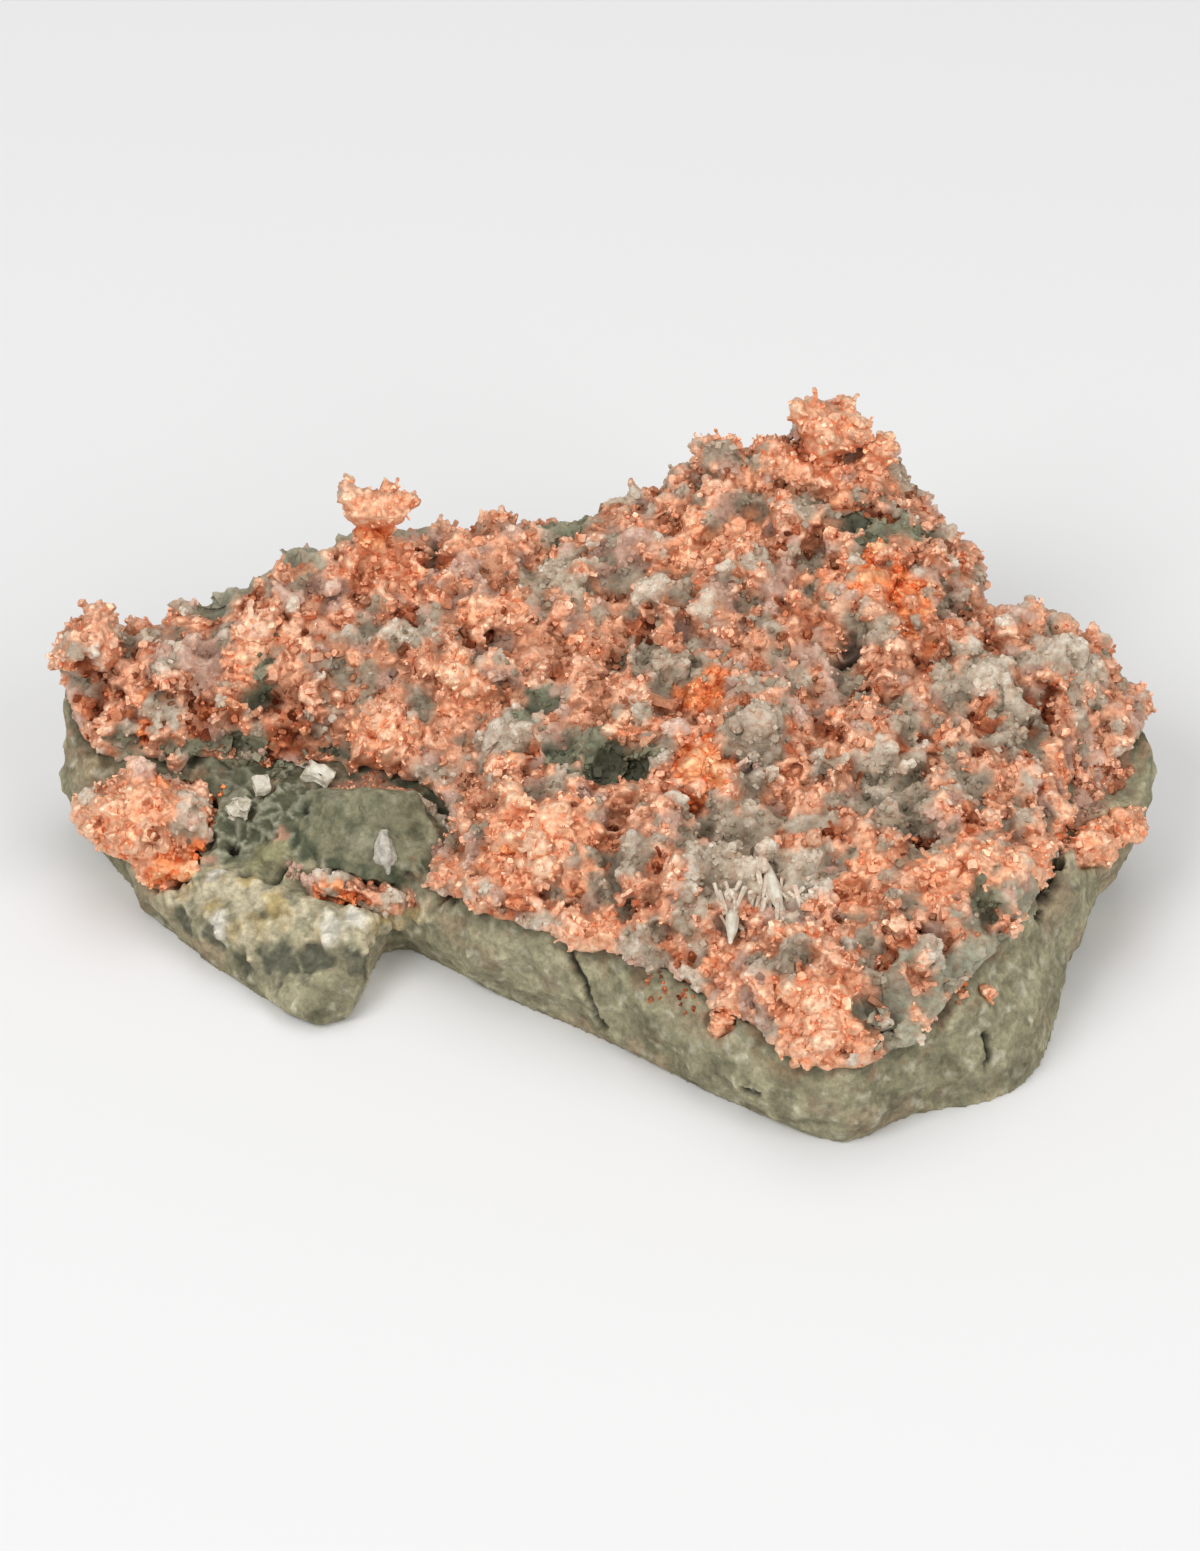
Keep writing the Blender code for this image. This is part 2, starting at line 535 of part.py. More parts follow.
def main():
    """Build the specimen's pieces and stand them on the origin."""
    for obj in list(bpy.data.objects):
        bpy.data.objects.remove(obj, do_unlink=True)
    samples = closed_curve(SLAB_STATIONS, SLAB_SPACING)
    rim = [Vector(p[:3]) for p in samples]
    feet = [Vector((p[3], p[4])) for p in samples]
    slab = build_slab(rim, feet)
    crust = build_crust(slab_bed(rim))
    growths = [nugget(f"growth_{number}", *growth, 2, COPPER)
               for number, growth in enumerate(CRUST_GROWTHS, 1)]
    nodule = nugget("copper_nodule", *NODULE)
    lip = nugget("nodule_lip", *NODULE_LIP)
    in_slab = [
        nodule,
        lip,
        nugget("copper_vein", *VEIN),
        nugget("copper_bead", *BEAD),
        nugget("copper_spur", *SPUR),
        nugget("copper_speck", *SPECK),
        cleavage_block("calcite_block_left", *LEFT_BLOCK),
        cleavage_block("calcite_block_middle", *MIDDLE_BLOCK),
        cleavage_block("calcite_block_right", *RIGHT_BLOCK),
        blade("lens_crystal", *LENS_CRYSTAL),
    ]
    in_crust = [blade("calcite_blade_left", *LEFT_BLADE), blade("calcite_blade_right", *RIGHT_BLADE)]
    combine(crust, growths, "UNION")
    combine(crust, [seat_for(piece) for piece in in_crust], "DIFFERENCE")
    chips = [chip(number, *face) for number, face in enumerate(SLAB_CHIPS, 1)]
    combine(slab, chips + [seat_for(piece) for piece in in_slab], "DIFFERENCE")
    combine(nodule, [lip], "UNION")
    stand_on_origin([obj for obj in bpy.data.objects if obj.type == "MESH"])


main()
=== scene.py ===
"""Native copper specimen: a hackly crust of copper grown over a slab of altered rock.

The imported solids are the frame. Each class below dresses one part of the specimen: it copies a
solid, gives it the fine relief of the real surface and covers it with crystals. Lengths are in
millimetres until a mesh is written, when they become metres. The origin is the middle of the
footprint on the resting plane: x to the right, y to the back and z upwards.
"""

import logging
import math
from dataclasses import dataclass, field
from enum import Enum

import bpy
import numpy as np
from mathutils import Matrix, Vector, noise
from mathutils.kdtree import KDTree


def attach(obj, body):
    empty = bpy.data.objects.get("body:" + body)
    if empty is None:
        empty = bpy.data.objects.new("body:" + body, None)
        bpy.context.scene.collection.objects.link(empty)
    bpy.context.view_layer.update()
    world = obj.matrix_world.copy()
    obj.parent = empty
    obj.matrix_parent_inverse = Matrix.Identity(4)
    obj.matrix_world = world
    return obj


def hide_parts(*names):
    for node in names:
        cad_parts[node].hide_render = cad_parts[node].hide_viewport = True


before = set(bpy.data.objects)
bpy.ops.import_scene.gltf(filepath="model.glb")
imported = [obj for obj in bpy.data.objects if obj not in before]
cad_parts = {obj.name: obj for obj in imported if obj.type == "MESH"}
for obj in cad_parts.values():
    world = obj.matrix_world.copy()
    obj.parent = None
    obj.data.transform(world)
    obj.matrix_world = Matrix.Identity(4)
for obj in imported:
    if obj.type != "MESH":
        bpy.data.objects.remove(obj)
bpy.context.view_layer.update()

MM = 0.001
BODY = "root"
MOST_TRIANGLES = 190_000            # a piece's share, a little under what its file may hold
BAKE_MAP = "OFBake"                 # the map that a piece's colours are baked through
TINY = 1e-9                         # keeps divisions from dividing by nothing
NOISE_REACH = 1.6                   # brings the noise close to -1 and 1
log = logging.getLogger("specimen")

Colour = tuple[float, float, float]


# Palette ----------------------------------------------------------------------------------

class Mineral(Enum):
    """What a spot of the crust consists of; the shaded hollows are painted shade instead."""

    BRIGHT = "bright copper"
    COPPER = "copper"
    # Vivid orange copper; in pockets its glow is painted, standing in for light bounced between
    # copper faces.
    RED = "copper that glows in a pocket"
    # Dark red copper sunk in gaps: its own darker red, deepened by painted shade.
    RUST = "dark red copper in a gap"
    GREY = "grey silicate"
    PINK = "pinkish grey silicate"
    PALE = "pale calcite"
    GREEN = "green chlorite"
    ROCK = "bare rock"
    # Painted shade in pits and under lumps, which are sunk as well.
    DARK = "dark hollow"


@dataclass(frozen=True)
class Look:
    """Colours of a mineral in its gaps, on its sides and on its tips, and how metallic it is.

    The gap colour is darker as painted shade, and the tip colour lighter as a painted highlight.
    """

    deep: Colour
    side: Colour
    tip: Colour
    metal: float


# Gap colours are painted shade; tip colours are painted highlights.
LOOKS = {
    Mineral.BRIGHT: Look((0.50, 0.22, 0.11), (0.93, 0.47, 0.275), (1.00, 0.66, 0.45), 0.80),
    Mineral.COPPER: Look((0.29, 0.125, 0.063), (0.79, 0.41, 0.25), (1.00, 0.65, 0.455), 0.80),
    Mineral.RED: Look((0.46, 0.11, 0.03), (0.94, 0.33, 0.125), (1.00, 0.57, 0.32), 0.80),
    Mineral.RUST: Look((0.16, 0.04, 0.015), (0.56, 0.19, 0.085), (0.92, 0.50, 0.29), 0.80),
    Mineral.GREY: Look((0.14, 0.112, 0.072), (0.36, 0.288, 0.203), (0.60, 0.49, 0.375), 0.0),
    Mineral.PINK: Look((0.21, 0.115, 0.08), (0.54, 0.34, 0.25), (0.80, 0.58, 0.46), 0.0),
    Mineral.PALE: Look((0.22, 0.175, 0.12), (0.53, 0.44, 0.33), (0.79, 0.70, 0.575), 0.0),
    Mineral.GREEN: Look((0.075, 0.078, 0.045), (0.195, 0.195, 0.12), (0.35, 0.34, 0.23), 0.0),
    Mineral.ROCK: Look((0.16, 0.15, 0.10), (0.34, 0.32, 0.225), (0.50, 0.47, 0.35), 0.0),
    Mineral.DARK: Look((0.045, 0.03, 0.018), (0.12, 0.08, 0.05), (0.28, 0.20, 0.14), 0.0),
}
MINERALS = list(Mineral)
METALS = [MINERALS.index(m) for m in
          (Mineral.BRIGHT, Mineral.COPPER, Mineral.RED, Mineral.RUST)]
# How surely a mineral fills its patches. What is left over mingles with the rest of the crust.
FIRMNESS = {
    Mineral.BRIGHT: 0.85, Mineral.COPPER: 0.60, Mineral.RED: 0.74, Mineral.RUST: 0.74,
    Mineral.GREY: 0.70, Mineral.PINK: 0.62, Mineral.PALE: 0.70, Mineral.GREEN: 0.86,
    Mineral.ROCK: 0.88, Mineral.DARK: 1.0,
}
STONES = [MINERALS.index(m) for m in (Mineral.GREY, Mineral.PINK, Mineral.PALE, Mineral.GREEN)]

# Patches of each mineral seen from above: x, y, half-width along x, half-width along y.
PATCHES = {
    Mineral.BRIGHT: [
        # The first two patches are painted glints.
        (-32.7, 15.3, 1.8, 1.8), (-35.1, 12.2, 2.2, 2.0), (-11.9, 15.8, 2.8, 2.4),
        (-13.8, 8.1, 2.8, 2.6), (-21.9, 4.9, 4.5, 1.4), (-13.2, 24.7, 2.0, 1.8),
        (9.0, 21.7, 2.0, 2.2), (22.8, 31.1, 4.2, 3.4), (-6.0, -11.0, 6.5, 4.6),
        (0.0, -20.2, 3.2, 2.2), (20.4, -33.2, 4.8, 4.8), (14.0, 24.0, 3.0, 2.0),
        (17.2, 29.0, 2.4, 2.0), (8.5, 25.4, 2.2, 2.0), (19.4, -25.5, 4.2, 1.8),
        (35.7, -17.1, 4.8, 2.6), (33.8, -20.8, 2.2, 1.8), (26.8, -16.6, 2.2, 1.8),
        (24.6, -19.3, 1.4, 1.4), (47.5, 0.3, 2.4, 1.8), (33.5, -10.6, 1.4, 1.2),
        (3.0, 1.4, 3.0, 1.8), (30.2, -31.2, 1.2, 0.9), (11.2, -24.4, 2.6, 1.8),
        (18.0, -5.2, 2.6, 1.0), (21.8, 18.3, 2.2, 2.0), (-22.4, 21.0, 3.8, 3.0),
        (43.0, -14.0, 3.0, 1.8), (-2.0, 11.5, 2.4, 1.6), (28.7, 31.0, 2.0, 2.4),
        (-47.2, -2.6, 5.6, 4.6), (50.4, -6.6, 6.0, 6.4),
    ],
    Mineral.COPPER: [
        (-51.6, 14.4, 3.0, 2.6), (-49.0, 11.4, 2.6, 1.8), (-15.0, 5.4, 3.4, 2.0),
        (2.6, 5.0, 3.2, 2.2), (24.6, 14.2, 2.4, 2.0),
    ],
    Mineral.RED: [
        (-47.6, 8.6, 2.2, 0.8), (29.2, 17.2, 4.8, 3.2), (32.0, 12.8, 2.2, 2.2),
        (10.2, 5.4, 2.2, 2.4), (9.6, -4.9, 3.0, 3.3), (-8.6, -0.4, 1.6, 1.0),
        (-7.6, -12.0, 2.0, 1.4), (-26.2, -10.2, 1.9, 1.4),
    ],
    Mineral.RUST: [
        (-52.4, 10.4, 2.0, 0.9), (-50.2, 8.8, 1.6, 0.8), (-30.6, 6.5, 2.0, 1.4),
        (-40.7, 7.5, 1.6, 1.2), (-4.4, 9.1, 1.2, 1.0), (32.7, 8.0, 1.2, 1.2),
        (27.4, 4.5, 2.0, 1.4), (20.5, 13.3, 1.6, 1.4), (22.9, -0.7, 2.2, 1.3),
        (19.8, -3.3, 1.6, 1.0), (38.0, 1.1, 1.8, 1.6), (32.7, -2.9, 1.6, 1.4),
        (-1.4, -11.1, 1.2, 1.0), (-5.8, -14.6, 1.5, 1.2), (-9.0, -16.2, 1.8, 1.2),
        (38.5, -23.0, 1.2, 1.0), (32.6, -25.9, 1.3, 1.2), (28.6, -26.8, 1.3, 1.0),
        (6.8, -24.4, 2.4, 1.2), (5.5, -15.9, 1.6, 1.2), (14.0, 0.9, 1.6, 1.2),
        (-44.2, 1.3, 0.8, 0.8), (-43.4, -5.4, 3.4, 1.1), (-23.9, -11.4, 1.2, 0.9),
        (-17.0, 21.6, 2.0, 1.6), (-20.0, 17.2, 1.6, 1.6), (26.8, 25.4, 2.2, 1.2),
        (-29.6, 14.8, 1.0, 0.9), (37.0, -11.8, 1.8, 1.4), (31.0, -12.6, 1.6, 1.0),
        (24.6, -10.6, 1.4, 1.2), (41.8, -2.6, 1.6, 1.2), (15.6, 7.4, 1.6, 1.0),
        (-34.6, 18.4, 1.4, 1.2), (-13.6, 12.6, 1.2, 1.0), (3.2, 13.8, 1.4, 1.0),
        (18.6, 21.6, 1.4, 1.0), (43.6, 6.0, 1.4, 1.2), (-37.4, 7.2, 1.6, 0.9),
        (-33.4, 6.4, 1.8, 0.9), (-39.0, 9.0, 1.4, 0.9),
    ],
    Mineral.GREY: [
        (-53.4, 12.2, 1.2, 1.2), (-25.0, 10.3, 2.2, 1.8), (12.5, 30.9, 2.6, 2.6),
        (6.0, 8.6, 4.6, 3.2), (27.1, 10.8, 2.8, 2.0), (15.9, -2.2, 4.3, 2.3),
        (30.9, 0.0, 2.2, 1.8), (13.4, -10.8, 3.8, 2.4), (29.0, -8.4, 4.4, 4.0),
        (32.6, -13.9, 2.0, 1.6), (38.3, -10.7, 1.6, 1.6), (29.2, -21.2, 1.8, 1.6),
        (18.6, -28.9, 2.2, 1.8), (27.5, -29.5, 2.2, 1.8), (5.1, -22.1, 1.8, 1.4),
        (2.6, -15.0, 4.0, 2.8), (42.0, 1.6, 3.0, 2.8), (15.4, 2.6, 3.2, 1.4),
        (-2.2, -13.2, 1.4, 1.2), (36.0, -5.5, 3.0, 2.0),
    ],
    Mineral.PINK: [
        (-28.6, 19.8, 3.2, 2.2), (-42.0, 13.6, 4.6, 3.0), (2.5, 23.5, 3.0, 2.4),
        (23.9, 29.8, 2.0, 1.8), (-11.7, -10.7, 1.8, 1.6), (-14.0, 19.6, 2.8, 2.4),
        (-17.5, 20.5, 2.0, 2.0), (-30.5, -6.8, 1.9, 1.2), (-45.0, 2.6, 1.6, 0.8),
        (22.0, 8.0, 2.4, 1.8), (50.6, 4.6, 1.8, 1.8), (47.6, 1.6, 1.4, 1.4),
    ],
    Mineral.PALE: [
        (-4.5, 20.4, 3.4, 3.0), (-18.7, 13.3, 1.8, 1.6), (-9.8, 3.2, 3.2, 2.6),
        (14.6, 19.6, 2.4, 1.4), (4.9, 18.3, 3.4, 1.8), (37.9, 7.1, 3.4, 2.8),
        (47.4, 10.5, 4.4, 3.2), (27.9, -4.0, 3.4, 2.4), (12.2, -16.8, 4.6, 4.0),
        (19.2, -16.0, 4.0, 3.4), (-42.4, -1.1, 1.9, 0.9),
    ],
    Mineral.GREEN: [
        (-35.5, 9.3, 2.8, 1.4), (-3.8, 26.8, 2.8, 2.2), (-6.3, 4.9, 2.0, 1.6),
        (-1.5, 0.4, 2.6, 1.8), (1.4, -2.0, 4.2, 3.0), (37.4, -21.2, 2.0, 1.4),
        (28.6, 24.0, 4.4, 1.9), (32.8, 23.4, 2.6, 1.8),
    ],
    Mineral.ROCK: [
        (-38.4, 21.8, 3.4, 2.6), (-34.8, 23.6, 3.0, 2.8), (-30.2, 25.4, 3.2, 2.8),
        (-27.3, 27.6, 2.8, 2.8), (-20.0, 28.0, 3.0, 1.6), (28.6, -33.4, 2.6, 3.0),
        (29.2, -28.8, 1.5, 1.2), (31.5, -32.5, 2.4, 1.6), (33.6, -29.6, 2.0, 1.6),
        (36.4, -27.2, 2.0, 1.6), (39.2, -24.4, 2.0, 1.8), (41.6, -20.6, 1.8, 1.8),
        (27.0, -32.6, 1.6, 1.0), (35.0, -24.6, 1.2, 1.0), (43.2, -17.4, 1.6, 1.6),
    ],
    # Painted shade in pits and hollows and under the grey lump.
    Mineral.DARK: [
        (24.5, 8.6, 1.7, 1.2), (25.6, 24.6, 1.8, 0.6), (19.5, -18.3, 1.0, 0.8),
        (23.0, -24.4, 1.0, 0.8), (-16.5, 24.1, 1.6, 1.2), (18.7, 16.7, 1.2, 1.0),
        (-12.0, 1.0, 1.2, 0.8), (16.2, -4.9, 3.4, 0.55),
    ],
}
# Patches on steep parts, where the height matters too: x, y, z, radius.
STEEP_PATCHES = {
    Mineral.BRIGHT: [
        (-23.1, 20.8, 26.4, 1.0), (-22.4, 22.7, 32.2, 4.0), (11.7, -29.8, 9.4, 2.4),
        (37.6, -27.6, 11.7, 1.6),
    ],
    Mineral.RED: [
        (-23.1, 22.0, 28.6, 1.7), (-43.1, -5.1, 8.2, 1.9), (-45.4, -5.7, 6.8, 1.6),
        (-40.6, -3.3, 8.8, 1.3), (-44.2, 1.3, 14.5, 0.8),
    ],
    Mineral.GREEN: [
        (-38.0, 6.4, 15.4, 1.7), (-34.5, 5.8, 15.0, 1.7), (-31.0, 5.2, 14.6, 1.4),
        (-41.0, 6.6, 14.6, 1.4), (-27.5, 4.6, 14.2, 1.2), (-49.6, 7.4, 14.4, 1.2),
        (-47.5, 6.4, 13.4, 1.4), (-44.2, 6.3, 14.0, 1.2),
    ],
    Mineral.PALE: [(-47.6, 8.0, 16.0, 1.1), (-45.4, 7.8, 16.4, 1.3), (-43.0, 7.8, 16.5, 1.2)],
}


# Patterns ---------------------------------------------------------------------------------

def soft(points: np.ndarray, size: float, seed: float) -> np.ndarray:
    """Give smooth noise at points.

    Args:
        points: One row of x, y, z in millimetres for each place.
        size: Breadth of the noise's features in millimetres.
        seed: Shifts the pattern.

    Returns:
        A value between about -1 and 1 for each place.
    """
    places = (points / size + seed).tolist()
    return np.array([noise.noise(place) for place in places]) * NOISE_REACH


def layered(points: np.ndarray, *layers: tuple[float, float, float]) -> np.ndarray:
    """Add up noises, each given by its strength, its breadth and its seed."""
    return sum(strength * soft(points, size, seed) for strength, size, seed in layers)


def wander(points: np.ndarray, size: float, seeds: tuple[float, ...]) -> np.ndarray:
    """Give noise along several axes, with a column for each seed."""
    return np.stack([soft(points, size, seed) for seed in seeds], 1)


def ridges(points: np.ndarray, height: float, middle: float, size: float,
           seed: float) -> np.ndarray:
    """Give ridges of a height that meet in sharp crests, about a middle level."""
    return height * (middle - np.abs(soft(points, size, seed)))


@dataclass
class Cells:
    """Places grouped round the nearest of scattered centres, as a crust is grouped in grains.

    Distances are in shares of the spacing.
    """

    points: np.ndarray
    size: float
    seed: float
    near: np.ndarray = field(init=False)
    next_near: np.ndarray = field(init=False)
    centres: np.ndarray = field(init=False)
    member: np.ndarray = field(init=False)

    def __post_init__(self) -> None:
        """Find each place's centre."""
        places = (self.points / self.size + self.seed).tolist()
        found = [noise.voronoi(place) for place in places]
        self.near = np.array([distances[0] for distances, _ in found])
        self.next_near = np.array([distances[1] for distances, _ in found])
        owners = np.array([tuple(spots[0]) for _, spots in found]).round(4)
        centres, self.member = np.unique(owners, axis=0, return_inverse=True)
        self.member = self.member.ravel()
        self.centres = (centres - self.seed) * self.size

    def dome(self) -> np.ndarray:
        """Rise from 0 at a cell's border to 1 at its centre."""
        return 1.0 - (self.near / self.next_near.clip(TINY)) ** 2

    def chance(self, rng: np.random.Generator) -> np.ndarray:
        """Give each place its cell's random number between 0 and 1."""
        return rng.random(len(self.centres))[self.member]


def ramp(values: np.ndarray, low: float, high: float) -> np.ndarray:
    """Rise smoothly from 0 at low to 1 at high."""
    share = np.clip((values - low) / (high - low), 0.0, 1.0)
    return share * share * (3.0 - 2.0 * share)


def blend(first: np.ndarray, second: np.ndarray, share: np.ndarray) -> np.ndarray:
    """Mix rows of colours, from the first where share is 0 to the second where it is 1."""
    return first + (second - first) * share[:, None]


def unit(vectors: np.ndarray) -> np.ndarray:
    """Give rows of x, y, z a length of 1."""
    return vectors / np.linalg.norm(vectors, axis=1).clip(TINY)[:, None]


def oval_reach(points: np.ndarray, x: float, y: float, width: float,
               depth: float) -> np.ndarray:
    """Give places' distances from an upright oval's axis, in shares of its half-widths."""
    return np.hypot((points[:, 0] - x) / width, (points[:, 1] - y) / depth)


def ball_reach(points: np.ndarray, x: float, y: float, z: float, radius: float) -> np.ndarray:
    """Give places' distances from a ball's middle, in shares of its radius."""
    return np.linalg.norm(points - (x, y, z), axis=1) / radius


@dataclass
class CrustMap:
    """Where each mineral lies on the crust.

    The named patches come first. Between them the crust is copper, mingled with grains of stone.
    The pairs of numbers are where a share starts to rise or fall, and where it ends.
    """

    stone_share: float = 0.42
    mingling: float = 0.36
    straying: float = 1.3               # how far a patch's edge strays from its oval, in mm
    patch_edge: tuple[float, float] = (0.7, 1.3)
    steep_edge: tuple[float, float] = (0.8, 1.3)
    stone_edge: float = 0.25
    pale_hues: tuple[float, float] = (0.35, 0.6)
    pink_hues: tuple[float, float] = (-0.35, -0.1)
    speck: float = 0.9
    least_presence: float = 0.55        # of the crust's common minerals, outside their patches
    common: tuple[Mineral, ...] = (Mineral.COPPER, Mineral.PINK, Mineral.GREY, Mineral.PALE)

    def named_patches(self, points: np.ndarray) -> np.ndarray:
        """Give each mineral's share of points by the named patches.

        Args:
            points: One row of x, y, z in millimetres for each place.

        Returns:
            One row for each place, with a column for each mineral.
        """
        stray = wander(points, 3.0, (5.0, 45.0)) + 0.6 * wander(points, 1.2, (15.0, 65.0))
        flat = points[:, :2] + stray * self.straying
        table = np.zeros((len(points), len(MINERALS)))
        for mineral, patches in PATCHES.items():
            column = MINERALS.index(mineral)
            for patch in patches:
                share = FIRMNESS[mineral] * (1.0 - ramp(oval_reach(flat, *patch),
                                                        *self.patch_edge))
                table[:, column] = np.maximum(table[:, column], share)
        for mineral, patches in STEEP_PATCHES.items():
            column = MINERALS.index(mineral)
            for patch in patches:
                share = 1.0 - ramp(ball_reach(points, *patch), *self.steep_edge)
                table *= 1.0 - share[:, None]
                table[:, column] += share
        return table

    def weights(self, points: np.ndarray) -> np.ndarray:
        """Give each mineral's weight at points.

        Args:
            points: One row of x, y, z in millimetres for each place.

        Returns:
            One row for each place, with a column for each mineral.
        """
        table = self.named_patches(points)
        bare = np.clip(1.0 - table.sum(1), 0.0, 1.0)
        coarse = layered(points, (1.0, 3.4, 90.0), (0.8, 1.5, 95.0))
        edge = 1.0 - 2.0 * self.stone_share
        stone = ramp(coarse, edge - self.stone_edge, edge + self.stone_edge)
        hue = layered(points, (1.0, 2.8, 120.0), (0.6, 1.3, 125.0))
        pale = ramp(hue, *self.pale_hues)
        pink = 1.0 - ramp(hue, *self.pink_hues)
        for mineral, share in ((Mineral.COPPER, 1.0 - stone), (Mineral.PALE, stone * pale),
                               (Mineral.PINK, stone * pink),
                               (Mineral.GREY, stone * (1.0 - pale) * (1.0 - pink))):
            table[:, MINERALS.index(mineral)] += bare * share
        return table

    def pick(self, points: np.ndarray) -> np.ndarray:
        """Choose one mineral for each place.

        Args:
            points: One row of x, y, z in millimetres for each place.

        Returns:
            Index into MINERALS for each place.
        """
        table = self.weights(points)
        for column, mineral in enumerate(MINERALS):
            least = self.least_presence if mineral in self.common else 0.0
            presence = np.clip(table[:, column] * 4.0, least, 1.0)
            specks = soft(points, self.speck, 200.0 + 31.0 * column)
            table[:, column] += self.mingling * presence * specks
        return table.argmax(1)


# Meshes -----------------------------------------------------------------------------------

def deselect() -> None:
    """Leave edit mode and select nothing."""
    if bpy.context.object and bpy.context.object.mode != "OBJECT":
        bpy.ops.object.mode_set(mode="OBJECT")
    bpy.ops.object.select_all(action="DESELECT")


def activate(obj: bpy.types.Object) -> None:
    """Select an object alone and make it the active one.

    Args:
        obj: The object.
    """
    deselect()
    obj.select_set(True)
    bpy.context.view_layer.objects.active = obj


def solid_copy(nodes: list[str], name: str) -> bpy.types.Object:
    """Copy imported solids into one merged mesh.

    Args:
        nodes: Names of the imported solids.
        name: Name of the new object.

    Returns:
        The new object, at the origin.
    """
    copies = []
    for node in nodes:
        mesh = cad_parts[node].data.copy()
        mesh.materials.clear()
        copy = bpy.data.objects.new(name, mesh)
        bpy.context.scene.collection.objects.link(copy)
        copies.append(copy)
    activate(copies[0])
    for copy in copies[1:]:
        copy.select_set(True)
    if len(copies) > 1:
        bpy.ops.object.join()
    bpy.ops.object.mode_set(mode="EDIT")
    bpy.ops.mesh.select_all(action="SELECT")
    bpy.ops.mesh.remove_doubles(threshold=0.01 * MM)
    bpy.ops.object.mode_set(mode="OBJECT")
    copies[0].name = name
    return copies[0]


def mesh_object(name: str, points: np.ndarray, triangles: np.ndarray) -> bpy.types.Object:
    """Make an object of triangles.

    Args:
        name: Name of the object.
        points: One row of x, y, z in millimetres for each vertex.
        triangles: Three vertex numbers for each triangle.

    Returns:
        The new object, at the origin.
    """
    mesh = bpy.data.meshes.new(name)
    mesh.vertices.add(len(points))
    mesh.vertices.foreach_set("co", (points * MM).astype(np.float32).ravel())
    mesh.loops.add(triangles.size)
    mesh.loops.foreach_set("vertex_index", triangles.astype(np.int32).ravel())
    mesh.polygons.add(len(triangles))
    mesh.polygons.foreach_set("loop_start", np.arange(0, triangles.size, 3, dtype=np.int32))
    mesh.update(calc_edges=True)
    obj = bpy.data.objects.new(name, mesh)
    bpy.context.scene.collection.objects.link(obj)
    return obj


@dataclass(frozen=True)
class Strips:
    """Start and height of strips of the baked image, for faces that look different ways."""

    top: tuple[float, float]
    bottom: tuple[float, float]
    front: tuple[float, float] = (0.0, 0.0)
    back: tuple[float, float] = (0.0, 0.0)


FLAT_STRIPS = Strips((0.34, 0.65), (0.0, 0.33))
WALLED_STRIPS = Strips((0.12, 0.37), (0.0, 0.11), (0.67, 0.33), (0.51, 0.15))
OVERHANG = -0.2                     # upward part of the normal below which a face looks down
WALL = 0.7                          # and the part up to which it is a wall
WALL_SPAN = 1.1 * math.pi           # turn that a wall's strip takes in, with some to spare


